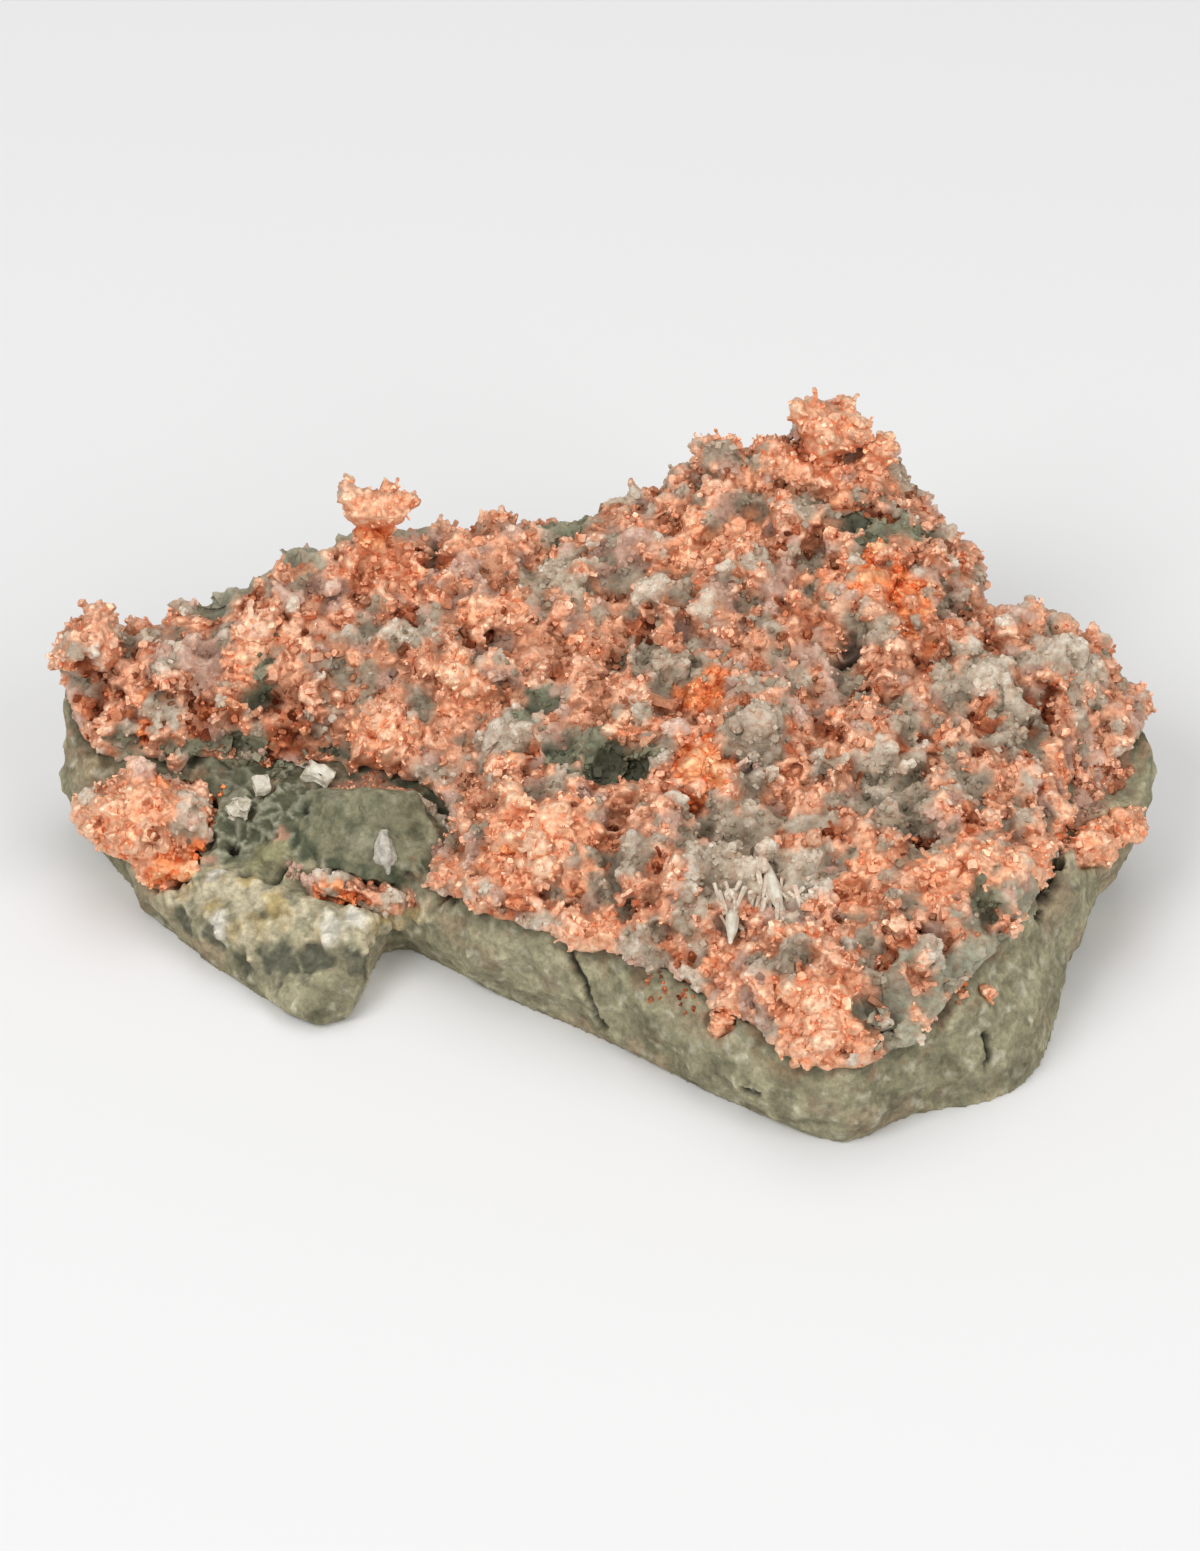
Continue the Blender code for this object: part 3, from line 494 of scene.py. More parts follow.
@dataclass
class Skin:
    """The surface of an object's mesh, read and written in millimetres."""

    obj: bpy.types.Object

    def points(self) -> np.ndarray:
        """Read the vertices' places.

        Returns:
            One row of x, y, z in millimetres for each vertex.
        """
        mesh = self.obj.data
        flat = np.empty(len(mesh.vertices) * 3, np.float32)
        mesh.vertices.foreach_get("co", flat)
        return flat.reshape(-1, 3).astype(float) / MM

    def normals(self) -> np.ndarray:
        """Read the vertices' outward directions.

        Returns:
            One row of x, y, z for each vertex.
        """
        mesh = self.obj.data
        flat = np.empty(len(mesh.vertices) * 3, np.float32)
        mesh.vertex_normals.foreach_get("vector", flat)
        return flat.reshape(-1, 3).astype(float)

    def write(self, points: np.ndarray) -> None:
        """Move the vertices to new places.

        Args:
            points: One row of x, y, z in millimetres for each vertex.
        """
        mesh = self.obj.data
        mesh.vertices.foreach_set("co", (points * MM).astype(np.float32).ravel())
        mesh.update()

    def push(self, heights: np.ndarray) -> None:
        """Move each vertex outwards by its height."""
        self.write(self.points() + self.normals() * heights[:, None])

    def modify(self, kind: str, **settings: object) -> None:
        """Add a modifier and apply it.

        Args:
            kind: Blender's name for the modifier.
            settings: Values of the modifier's properties.
        """
        activate(self.obj)
        modifier = self.obj.modifiers.new(kind.title(), kind)
        for key, value in settings.items():
            setattr(modifier, key, value)
        bpy.ops.object.modifier_apply(modifier=modifier.name)

    def remesh(self, pitch: float) -> None:
        """Rebuild the surface from cubes of this pitch in millimetres."""
        self.modify("REMESH", mode="VOXEL", voxel_size=pitch * MM, use_smooth_shade=False)

    def thin(self, most: int = MOST_TRIANGLES) -> None:
        """Turn the faces into triangles and drop the flattest past a number.

        Args:
            most: The number of triangles that may stay.
        """
        self.modify("TRIANGULATE")
        count = len(self.obj.data.polygons)
        if count > most:
            self.modify("DECIMATE", ratio=most / count)

    def neighbours_mean(self, values: np.ndarray, rounds: int) -> np.ndarray:
        """Smooth values along the mesh's edges.

        Args:
            values: One row for each vertex.
            rounds: How many times each value is averaged with its neighbours.

        Returns:
            The smoothed rows.
        """
        mesh = self.obj.data
        edges = np.empty(len(mesh.edges) * 2, np.int32)
        mesh.edges.foreach_get("vertices", edges)
        first, second = edges[0::2], edges[1::2]
        count = np.bincount(edges, minlength=len(values)).clip(1)
        columns = values.reshape(len(values), -1).astype(float)
        for _ in range(rounds):
            total = np.stack([
                np.bincount(first, column[second], len(values))
                + np.bincount(second, column[first], len(values))
                for column in columns.T], 1)
            columns = 0.5 * columns + 0.5 * total / count[:, None]
        return columns.reshape(values.shape)

    def relief(self, rounds: int) -> np.ndarray:
        """Give how far each vertex stands above the smoothed surface, in millimetres.

        Args:
            rounds: How many times the surface is smoothed.

        Returns:
            A height for each vertex.
        """
        points = self.points()
        smoothed = self.neighbours_mean(points, rounds)
        normals = unit(self.neighbours_mean(self.normals(), rounds))
        return ((points - smoothed) * normals).sum(1)

    def shade_smooth(self) -> None:
        """Shade every face smoothly."""
        activate(self.obj)
        bpy.ops.object.shade_smooth()

    def paint(self, colours: np.ndarray, metal: np.ndarray) -> None:
        """Store each vertex's colour and how metallic it is, for the materials to read.

        Args:
            colours: One row of red, green, blue for each vertex.
            metal: From 0, stone, to 1, metal.
        """
        mesh = self.obj.data
        full = np.ones((len(colours), 4), np.float32)
        full[:, :3] = np.clip(colours, 0.0, 1.0)
        mesh.attributes.new("tint", "FLOAT_COLOR", "POINT").data.foreach_set(
            "color", full.ravel())
        mesh.attributes.new("metal", "FLOAT", "POINT").data.foreach_set(
            "value", metal.astype(np.float32))

    def store_map(self, spots: np.ndarray) -> None:
        """Store where each corner of each face lies on the image that is baked."""
        layer = self.obj.data.uv_layers.new(name=BAKE_MAP)
        layer.uv.foreach_set("vector", spots.astype(np.float32).ravel())

    def lay_out(self, walls: bool = False) -> None:
        """Give a mesh of triangles a map: what faces up above, what faces down below.

        Args:
            walls: Also give the front and back walls strips of their own.
        """
        mesh = self.obj.data
        corners = np.empty(len(mesh.loops), np.int32)
        mesh.loops.foreach_get("vertex_index", corners)
        places = self.points()[corners].reshape(-1, 3, 3)
        facing = unit(np.cross(places[:, 1] - places[:, 0], places[:, 2] - places[:, 0]))[:, 2]
        low = places.min((0, 1))
        along = (places - low) / (places.max((0, 1)) - low)
        strips = WALLED_STRIPS if walls else FLAT_STRIPS
        upward = (facing > OVERHANG)[:, None]
        start, height = np.where(upward, strips.top, strips.bottom).T[:, :, None]
        spots = np.stack([along[:, :, 0], start + height * along[:, :, 1]], 2)
        if walls:
            gap = places - places.mean((0, 1))
            front = np.where(gap.mean(1)[:, 1] < 0.0, 1.0, -1.0)[:, None]
            turn = np.arctan2(front * gap[:, :, 0], -front * gap[:, :, 1])
            start, height = np.where(front > 0.0, strips.front, strips.back).T[:, :, None]
            upright = np.stack([0.5 + turn / WALL_SPAN, start + height * along[:, :, 2]], 2)
            spots = np.where((np.abs(facing) < WALL)[:, None, None], upright, spots)
        self.store_map(spots.clip(0.0, 1.0))

    def sample(self, count: int, rng: np.random.Generator,
               lowest: float = -1.0) -> tuple[np.ndarray, np.ndarray, np.ndarray]:
        """Scatter places evenly over the surface.

        Args:
            count: How many places.
            rng: Source of the scatter.
            lowest: Faces whose normal points further down than this get none.

        Returns:
            The places, the surface's outward directions there and a vertex beside each.
        """
        mesh = self.obj.data
        mesh.calc_loop_triangles()
        corners = np.empty(len(mesh.loop_triangles) * 3, np.int32)
        mesh.loop_triangles.foreach_get("vertices", corners)
        corners = corners.reshape(-1, 3)
        triangles = self.points()[corners]
        across = np.cross(triangles[:, 1] - triangles[:, 0], triangles[:, 2] - triangles[:, 0])
        twice = np.linalg.norm(across, axis=1)
        directions = across / twice.clip(1e-12)[:, None]
        share = np.where(directions[:, 2] >= lowest, twice, 0.0)
        chosen = rng.choice(len(share), count, p=share / share.sum())
        u, v = rng.random(count), rng.random(count)
        over = u + v > 1.0
        u[over], v[over] = 1.0 - u[over], 1.0 - v[over]
        base = triangles[chosen]
        places = base[:, 0] + u[:, None] * (base[:, 1] - base[:, 0])
        places += v[:, None] * (base[:, 2] - base[:, 0])
        return places, directions[chosen], corners[chosen, 0]


# Grains -----------------------------------------------------------------------------------

class GrainKind(Enum):
    """The crystal shapes that are repeated over the specimen."""

    NUGGET = "rounded grain"
    CUBE = "cube with worn corners"
    HACKLE = "cube with stubs growing out of it"
    RHOMB = "leaning block"
    TWIG = "short branch"
    LATH = "long crystal"


def in_order(triangles: np.ndarray) -> np.ndarray:
    """Put triangles in the same order on every run, as the modelling tools don't.

    Args:
        triangles: Three vertex numbers for each triangle.

    Returns:
        The same triangles, each from its lowest vertex number on, sorted.
    """
    turn = (triangles.argmin(1)[:, None] + np.arange(3)) % 3
    turned = np.take_along_axis(triangles, turn, 1)
    return turned[np.lexsort(turned.T[::-1])]


@dataclass
class GrainShape:
    """One small crystal, about 1 mm across, modelled once for its copies."""

    kind: GrainKind
    points: np.ndarray = field(init=False)
    triangles: np.ndarray = field(init=False)

    def __post_init__(self) -> None:
        """Model the crystal and read its mesh."""
        makers = {
            GrainKind.NUGGET: self.model_nugget,
            GrainKind.CUBE: self.model_cube,
            GrainKind.HACKLE: self.model_hackle,
            GrainKind.RHOMB: self.model_rhomb,
            GrainKind.TWIG: self.model_twig,
            GrainKind.LATH: self.model_lath,
        }
        deselect()
        makers[self.kind]()
        bpy.ops.mesh.select_all(action="SELECT")
        bpy.ops.mesh.quads_convert_to_tris()
        bpy.ops.mesh.normals_make_consistent(inside=False)
        bpy.ops.object.mode_set(mode="OBJECT")
        obj = bpy.context.object
        self.points = Skin(obj).points() * MM
        corners = np.empty(len(obj.data.polygons) * 3, np.int32)
        obj.data.polygons.foreach_get("vertices", corners)
        self.triangles = in_order(corners.reshape(-1, 3))
        bpy.data.objects.remove(obj, do_unlink=True)

    def select_above(self, height: float) -> None:
        """Select the faces whose middle lies above a height, in edit mode.

        Args:
            height: The height.
        """
        mesh = bpy.context.object
        bpy.ops.mesh.select_all(action="DESELECT")
        bpy.ops.object.mode_set(mode="OBJECT")
        for face in mesh.data.polygons:
            face.select = face.center.z > height
        bpy.ops.object.mode_set(mode="EDIT")

    def select_facing(self, way: tuple[float, float, float]) -> None:
        """Select the face that faces a direction most, in edit mode.

        Args:
            way: The direction.
        """
        mesh = bpy.context.object
        bpy.ops.mesh.select_all(action="DESELECT")
        bpy.ops.object.mode_set(mode="OBJECT")
        direction = Vector(way)
        facing = max(mesh.data.polygons, key=lambda face: face.normal.dot(direction))
        facing.select = True
        bpy.ops.object.mode_set(mode="EDIT")

    def model_nugget(self) -> None:
        """Pull an icosahedron out of round."""
        bpy.ops.mesh.primitive_ico_sphere_add(subdivisions=1, radius=0.5, enter_editmode=True)
        self.select_above(0.2)
        bpy.ops.transform.translate(value=(0.08, -0.05, -0.08))
        self.select_above(-0.1)
        bpy.ops.transform.resize(value=(1.12, 0.82, 0.9))

    def model_cube(self) -> None:
        """Cut the corners off a cube and squeeze its top."""
        bpy.ops.mesh.primitive_cube_add(size=0.8, enter_editmode=True)
        bpy.ops.mesh.bevel(offset=0.2, segments=1, affect="VERTICES")
        self.select_above(0.2)
        bpy.ops.transform.resize(value=(0.8, 0.9, 0.86))

    def model_hackle(self) -> None:
        """Grow three unequal stubs out of a cube."""
        bpy.ops.mesh.primitive_cube_add(size=0.52, enter_editmode=True)
        for way, slide in (((1, 0, 0), (0.26, 0.08, 0.05)), ((0, -1, 0), (-0.07, -0.22, 0.1)),
                           ((-0.3, 0.2, 1), (-0.05, 0.06, 0.3))):
            self.select_facing(way)
            bpy.ops.mesh.extrude_region_move(TRANSFORM_OT_translate={"value": slide})
            bpy.ops.transform.resize(value=(0.62, 0.6, 0.66))

    def model_rhomb(self) -> None:
        """Lean a block to one side and pinch one of its edges."""
        bpy.ops.mesh.primitive_cube_add(size=0.72, enter_editmode=True)
        self.select_facing((0, 0, 1))
        bpy.ops.transform.translate(value=(0.2, 0.09, -0.06))
        bpy.ops.transform.resize(value=(0.85, 0.8, 1.0))
        self.select_facing((1, 0, 0))
        bpy.ops.transform.resize(value=(1.0, 0.75, 0.85))

    def model_twig(self) -> None:
        """Grow a branch with a bend and a knob at its tip."""
        bpy.ops.mesh.primitive_cube_add(size=0.42, enter_editmode=True)
        self.select_above(0.15)
        bpy.ops.mesh.extrude_region_move(TRANSFORM_OT_translate={"value": (0.08, 0.03, 0.34)})
        bpy.ops.transform.resize(value=(0.72, 0.72, 1.0))
        bpy.ops.mesh.extrude_region_move(TRANSFORM_OT_translate={"value": (0.05, -0.09, 0.28)})
        bpy.ops.transform.resize(value=(1.5, 1.4, 1.0))
        bpy.ops.mesh.extrude_region_move(TRANSFORM_OT_translate={"value": (0.0, -0.03, 0.2)})
        bpy.ops.transform.resize(value=(0.4, 0.5, 1.0))

    def model_lath(self) -> None:
        """Draw a six-sided crystal out to a slanting point."""
        bpy.ops.mesh.primitive_cylinder_add(vertices=6, radius=0.16, depth=0.7,
                                            enter_editmode=True)
        self.select_above(0.3)
        bpy.ops.transform.resize(value=(0.9, 0.7, 1.0))
        bpy.ops.mesh.extrude_region_move(TRANSFORM_OT_translate={"value": (0.02, 0.04, 0.25)})
        bpy.ops.transform.resize(value=(0.35, 0.3, 1.0))


# How a crystal is seen on the baked image: each axis's share in across and in up.
ASLANT = ((0.80, -0.25), (-0.45, -0.62), (0.38, 0.74))
SQUARE_MARGIN = 0.12                # bare edge of a crystal's square on that image


@dataclass
class Grains:
    """Copies of crystal shapes, joined in one piece."""

    name: str
    shapes: list[GrainShape]
    seed: int

    def turns(self, normals: np.ndarray, tilt: float,
              rng: np.random.Generator) -> np.ndarray:
        """Turn each copy's long axis to the surface's normal, more or less.

        Args:
            normals: The surface's outward direction for each copy.
            tilt: 0 keeps to the normal, and large values point anywhere.
            rng: Source of the tilts and spins.

        Returns:
            A rotation matrix for each copy.
        """
        count = len(normals)
        upright = unit(normals + tilt * rng.normal(size=(count, 3)))
        side = unit(np.cross(upright, rng.normal(size=(count, 3))))
        return np.stack([side, np.cross(upright, side), upright], 2)

    def cell_spots(self, shape: GrainShape, chosen: np.ndarray, count: int) -> np.ndarray:
        """Give each copy of a shape a square of its own on the image that is baked.

        Args:
            shape: The crystal shape, seen aslant, so that none of its faces is edge on.
            chosen: The copies' numbers.
            count: How many copies of all shapes there are.

        Returns:
            A place on the image for each vertex of each copy.
        """
        seen = shape.points @ np.array(ASLANT)
        seen = (seen - seen.min(0)) / np.ptp(seen, axis=0)
        side = math.ceil(math.sqrt(count))
        square = np.stack([chosen % side, chosen // side], 1)
        return (square[:, None] + SQUARE_MARGIN + (1.0 - 2.0 * SQUARE_MARGIN) * seen) / side

    def build(self, places: np.ndarray, normals: np.ndarray, sizes: np.ndarray,
              colours: np.ndarray, metal: np.ndarray, tilt: float) -> bpy.types.Object:
        """Join a copy of a shape at each place.

        Args:
            places: Where each copy sits.
            normals: The surface's outward direction for each copy.
            sizes: Breadth, depth and height of each copy in millimetres.
            colours: Colour of each copy.
            metal: How metallic each copy is.
            tilt: How far the copies lean from the normal.

        Returns:
            The joined piece.
        """
        rng = np.random.default_rng(self.seed)
        turned = self.turns(normals, tilt, rng)
        kinds = rng.integers(len(self.shapes), size=len(places))
        points, triangles, owners, spots = [], [], [], []
        start = 0
        for number, shape in enumerate(self.shapes):
            chosen = np.flatnonzero(kinds == number)
            local = shape.points[None] * sizes[chosen][:, None, :]
            placed = np.einsum("nij,nkj->nki", turned[chosen], local) + places[chosen][:, None]
            count = len(shape.points)
            steps = start + np.arange(len(chosen)) * count
            points.append(placed.reshape(-1, 3))
            triangles.append((shape.triangles[None] + steps[:, None, None]).reshape(-1, 3))
            owners.append(np.repeat(chosen, count))
            spots.append(self.cell_spots(shape, chosen, len(places)).reshape(-1, 2))
            start += len(chosen) * count
        owner = np.concatenate(owners)
        corners = np.concatenate(triangles)
        obj = mesh_object(self.name, np.concatenate(points), corners)
        Skin(obj).paint(colours[owner], metal[owner])
        Skin(obj).store_map(np.concatenate(spots)[corners])
        activate(obj)
        bpy.ops.object.shade_flat()
        return obj


# Finishes ---------------------------------------------------------------------------------

def opaque(colour: Colour) -> tuple[float, float, float, float]:
    """Give a colour its full opacity, as nodes want it."""
    return (*colour, 1.0)


@dataclass
class Graph:
    """A new material, with short ways to add to its nodes. Sizes are in millimetres."""

    name: str
    material: bpy.types.Material = field(init=False)

    def __post_init__(self) -> None:
        """Start the material."""
        self.material = bpy.data.materials.new(self.name)
        self.material.use_nodes = True

    def add(self, kind: str, **settings: object) -> bpy.types.Node:
        """Add a node.

        Args:
            kind: Blender's name for the node.
            settings: Values of the node's properties.

        Returns:
            The node.
        """
        node = self.material.node_tree.nodes.new(kind)
        for key, value in settings.items():
            setattr(node, key, value)
        return node

    def feed(self, socket: bpy.types.NodeSocket, value: object) -> None:
        """Link a socket to an output, or set it to a constant.

        Args:
            socket: The socket that is fed.
            value: Another node's output, or a constant.
        """
        if isinstance(value, bpy.types.NodeSocket):
            self.material.node_tree.links.new(value, socket)
        else:
            socket.default_value = value

    def node(self, kind: str, inputs: dict[object, object],
             **settings: object) -> bpy.types.Node:
        """Add a node and feed its sockets.

        Args:
            kind: Blender's name for the node.
            inputs: What each socket gets, by the socket's name or number.
            settings: Values of the node's properties.

        Returns:
            The node.
        """
        node = self.add(kind, **settings)
        for key, value in inputs.items():
            self.feed(node.inputs[key], value)
        return node

    def surface(self, inputs: dict[str, object]) -> bpy.types.Material:
        """Feed the surface's shader.

        Args:
            inputs: What each of its sockets gets, by the socket's name.

        Returns:
            The finished material.
        """
        shader = self.material.node_tree.nodes["Principled BSDF"]
        for key, value in inputs.items():
            self.feed(shader.inputs[key], value)
        return self.material

    def attribute(self, name: str, output: str = "Color") -> bpy.types.NodeSocket:
        """Read a value stored on the mesh."""
        return self.add("ShaderNodeAttribute", attribute_name=name).outputs[output]

    def pattern(self, kind: str, size: float, **inputs: float) -> bpy.types.Node:
        """Lay a pattern out on object coordinates, with features of a size."""
        place = self.add("ShaderNodeTexCoord").outputs["Object"]
        return self.node(kind, {"Vector": place, "Scale": 1.0 / (size * MM), **inputs})

    def grain(self, size: float, detail: float = 2.0,
              roughness: float = 0.6) -> bpy.types.NodeSocket:
        """Give noise with features of a size."""
        noise_node = self.pattern("ShaderNodeTexNoise", size, Detail=detail, Roughness=roughness)
        return noise_node.outputs["Fac"]

    def patches(self, size: float) -> bpy.types.NodeSocket:
        """Give patches of a size, each with its own random value."""
        cells = self.pattern("ShaderNodeTexVoronoi", size)
        return self.node("ShaderNodeSeparateColor", {0: cells.outputs["Color"]}).outputs[0]

    def map(self, value: bpy.types.NodeSocket, low: float, high: float,
            start: float, end: float) -> bpy.types.NodeSocket:
        """Map a value from low..high to start..end, held at both ends."""
        ends = {1: low, 2: high, 3: start, 4: end}
        return self.node("ShaderNodeMapRange", {"Value": value, **ends}).outputs["Result"]

    def vary(self, value: bpy.types.NodeSocket, low: float, high: float,
             share: float) -> bpy.types.NodeSocket:
        """Map a value from low..high to a factor that differs from 1 by a share."""
        return self.map(value, low, high, 1.0 - share, 1.0 + share)

    def calculate(self, operation: str, first: object, second: object) -> bpy.types.NodeSocket:
        """Combine two numbers."""
        return self.node("ShaderNodeMath", {0: first, 1: second}, operation=operation).outputs[0]

    def mix(self, share: object, first: object, second: object,
            way: str = "MIX") -> bpy.types.NodeSocket:
        """Mix two colours.

        Args:
            share: How much of the second colour there is.
            first: The colour that is mixed into.
            second: The colour that is mixed in.
            way: Blender's name for the way of mixing.

        Returns:
            The mixed colour.
        """
        node = self.node("ShaderNodeMix", {"Factor": share}, data_type="RGBA", blend_type=way)
        for name, value in (("A", first), ("B", second)):
            socket = next(s for s in node.inputs if s.name == name and s.type == "RGBA")
            self.feed(socket, value)
        return next(s for s in node.outputs if s.type == "RGBA")

    def bump(self, height: bpy.types.NodeSocket, depth: float,
             strength: float = 1.0) -> bpy.types.NodeSocket:
        """Raise the surface's shading by a depth."""
        inputs = {"Distance": depth * MM, "Strength": strength, "Height": height}
        return self.node("ShaderNodeBump", inputs).outputs["Normal"]


@dataclass(frozen=True)
class CrustFinish:
    """Copper and the minerals that grow with it, coloured by what is stored on the mesh."""

    name: str
    metal_roughness: tuple[float, float] = (0.36, 0.56)
    stone_roughness: float = 0.72
    dull: Colour = (0.80, 0.70, 0.66)
    lively: Colour = (1.16, 1.24, 1.28)
    blush: Colour = (1.08, 0.88, 0.79)
    blush_strength: float = 0.75
    fleck_size: float = 0.55
    bump_depth: float = 0.09

    def material(self) -> bpy.types.Material:
        """Build the material.

        Returns:
            The new material.
        """
        graph = Graph(self.name)
        metal = graph.attribute("metal", "Fac")
        fleck = graph.map(graph.grain(self.fleck_size, 4.0, 0.65), 0.34, 0.66, 0.0, 1.0)
        flecks = graph.mix(fleck, opaque(self.dull), opaque(self.lively))
        tint = graph.mix(1.0, graph.attribute("tint"), flecks, "MULTIPLY")
        blush = graph.map(graph.grain(1.0, 3.0), 0.52, 0.62, 0.0, self.blush_strength)
        tint = graph.mix(blush, tint, graph.mix(1.0, tint, opaque(self.blush), "MULTIPLY"))
        metal_rough = graph.map(graph.grain(0.9), 0.35, 0.65, *self.metal_roughness)
        stone = graph.calculate("SUBTRACT", 1.0, metal)
        stone_rough = graph.calculate("MULTIPLY", stone, self.stone_roughness)
        rough = graph.calculate("ADD", graph.calculate("MULTIPLY", metal, metal_rough),
                                stone_rough)
        normal = graph.bump(graph.grain(0.30, 3.0), self.bump_depth, 0.7)
        return graph.surface({"Base Color": tint, "Metallic": metal, "Roughness": rough,
                              "Normal": normal})


@dataclass(frozen=True)
class RockFinish:
    """Fine-grained altered rock, mottled over the colours stored on the mesh."""

    name: str
    roughness: float = 0.9
    sheen: float = 0.25
    mottle: float = 0.26
    grains: float = 0.13
    bump_depth: float = 0.16

    def material(self) -> bpy.types.Material:
        """Build the material.

        Returns:
            The new material.
        """
        graph = Graph(self.name)
        broad = graph.vary(graph.grain(2.6, 3.0), 0.32, 0.68, 0.6 * self.mottle)
        fine = graph.vary(graph.grain(0.55, 4.0, 0.65), 0.3, 0.7, self.mottle)
        grains = graph.vary(graph.patches(0.7), 0.0, 1.0, self.grains)
        tone = graph.calculate("MULTIPLY", graph.calculate("MULTIPLY", broad, fine), grains)
        tones = graph.node("ShaderNodeCombineColor", {0: tone, 1: tone, 2: tone})
        tint = graph.mix(1.0, graph.attribute("tint"), tones.outputs["Color"], "MULTIPLY")
        normal = graph.bump(graph.grain(0.45, 5.0, 0.65), self.bump_depth)
        return graph.surface({"Base Color": tint, "Roughness": self.roughness,
                              "Specular IOR Level": self.sheen, "Normal": normal})


@dataclass(frozen=True)
class CalciteFinish:
    """Pale calcite with cloudy patches."""

    name: str
    clear: Colour = (0.60, 0.54, 0.42)
    cloudy: Colour = (0.80, 0.75, 0.63)
    roughness: float = 0.34
    bump_depth: float = 0.06

    def material(self) -> bpy.types.Material:
        """Build the material.

        Returns:
            The new material.
        """
        graph = Graph(self.name)
        cloud = graph.map(graph.grain(0.8, 3.0), 0.35, 0.65, 0.0, 1.0)
        colour = graph.mix(cloud, opaque(self.clear), opaque(self.cloudy))
        normal = graph.bump(graph.grain(0.4, 3.0), self.bump_depth, 0.7)
        return graph.surface({"Base Color": colour, "Roughness": self.roughness,
                              "Normal": normal})


@dataclass(frozen=True)
class FloorFinish:
    """Plain matt floor."""

    name: str
    colour: Colour = (0.85, 0.85, 0.85)
    roughness: float = 0.9
    sheen: float = 0.1

    def material(self) -> bpy.types.Material:
        """Build the material."""
        return Graph(self.name).surface({
            "Base Color": opaque(self.colour), "Roughness": self.roughness,
            "Specular IOR Level": self.sheen})


# The specimen -----------------------------------------------------------------------------

def settle(obj: bpy.types.Object, material: bpy.types.Material,
           replaced: tuple[str, ...] = ()) -> bpy.types.Object:
    """Give a finished piece its material, its body and the solids it stands for.

    Args:
        obj: The piece.
        material: Its finish.
        replaced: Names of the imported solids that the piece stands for.

    Returns:
        The same piece.
    """
    obj.data.materials.clear()
    obj.data.materials.append(material)
    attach(obj, BODY)
    if replaced:
        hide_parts(*replaced)
    log.info("%s: %d faces", obj.name, len(obj.data.polygons))
    return obj


# How far a mineral's grains stand above the rest of the crust.
RISES = {
    Mineral.BRIGHT: 0.12, Mineral.COPPER: 0.0, Mineral.RED: -0.05, Mineral.RUST: -0.40,
    Mineral.GREY: 0.0, Mineral.PINK: -0.05, Mineral.PALE: 0.10, Mineral.GREEN: -0.25,
    Mineral.ROCK: -0.25, Mineral.DARK: -0.8,
}
# Broad swells of the crust and hollows in it: x, y, half-width, half-depth, height.
SWELLS = [
    (15.9, -1.8, 3.6, 2.0, 0.7), (16.2, -5.2, 3.8, 0.8, -1.2), (38.2, 8.0, 3.4, 2.8, 0.35),
    (47.4, 10.6, 3.6, 3.0, 0.45), (-6.0, -11.0, 5.5, 4.2, 0.9), (20.4, -33.0, 3.6, 3.4, 0.8),
    (27.4, -33.8, 2.2, 2.8, -1.4), (15.4, -36.2, 2.2, 1.6, -1.2), (-33.0, 4.8, 9.0, 2.4, -1.3),
    (24.3, 8.8, 1.5, 1.4, -2.0), (27.2, 11.2, 2.6, 1.8, 0.5), (1.4, -2.0, 4.2, 2.8, -1.0),
    (28.8, 17.0, 3.8, 2.6, 0.9), (25.4, 24.2, 2.6, 1.0, -0.8), (10.2, 6.0, 2.4, 2.6, 0.9),
    (9.8, -5.4, 2.8, 3.0, 0.8), (-9.8, 3.2, 2.8, 2.2, 0.4), (-14.0, 9.6, 3.4, 3.0, 0.9),
    (-35.3, 13.4, 3.0, 2.4, 0.9), (-35.4, 8.8, 2.6, 1.2, -1.0), (-22.0, 5.0, 4.0, 1.6, 0.7),
    (36.0, -17.2, 4.6, 2.2, 0.9), (-47.7, 14.0, 1.2, 1.4, -0.5), (3.0, 1.6, 3.0, 1.4, 0.8),
    (-30.6, 6.2, 1.8, 1.2, -1.0), (38.2, -22.6, 1.6, 1.4, -0.8), (19.6, -18.4, 1.2, 0.9, -1.2),
]
# Slender parts, where clumps are smaller: x, y, z, radius.
SLENDER = [(-22.3, 22.7, 30.5, 5.0), (-51.5, 13.0, 21.0, 5.5), (29.0, 31.0, 33.5, 2.5)]
LEAST_CLUMP = 0.5                   # breadth of a slender part's clumps, in shares of the usual
MIDDLE_TONE = 0.43                  # the tone of a place that neither stands out nor lies deep
LEAN = 0.8                          # how far crystals lean from the surface's normal
STRETCH = (0.7, 1.2)                # least and most stretch of each of a crystal's sides
SIDE_TONE = 0.45                    # the tone at which a mineral has its sides' colour


def slenderness(points: np.ndarray) -> np.ndarray:
    """Give the share of their usual breadth that clumps have at points.

    Args:
        points: One row of x, y, z in millimetres for each place.

    Returns:
        A share for each place.
    """
    share = np.ones(len(points))
    for x, y, z, radius in SLENDER:
        reach = ball_reach(points, x, y, z, radius)
        share = np.minimum(share, LEAST_CLUMP + (1.0 - LEAST_CLUMP) * ramp(reach, 0.9, 1.4))
    return share


def swell(points: np.ndarray) -> np.ndarray:
    """Give the height of the crust's broad swells at points.

    Args:
        points: One row of x, y, z in millimetres for each place.

    Returns:
        A height for each place.
    """
    height = np.zeros(len(points))
    for x, y, width, depth, rise in SWELLS:
        height += rise * (1.0 - ramp(oval_reach(points, x, y, width, depth), 0.3, 1.25))
    return height


@dataclass(frozen=True)
class GrainRelief:
    """How far a mineral's grains stand out, in millimetres."""

    dome: float
    unevenness: float
    small_dome: float


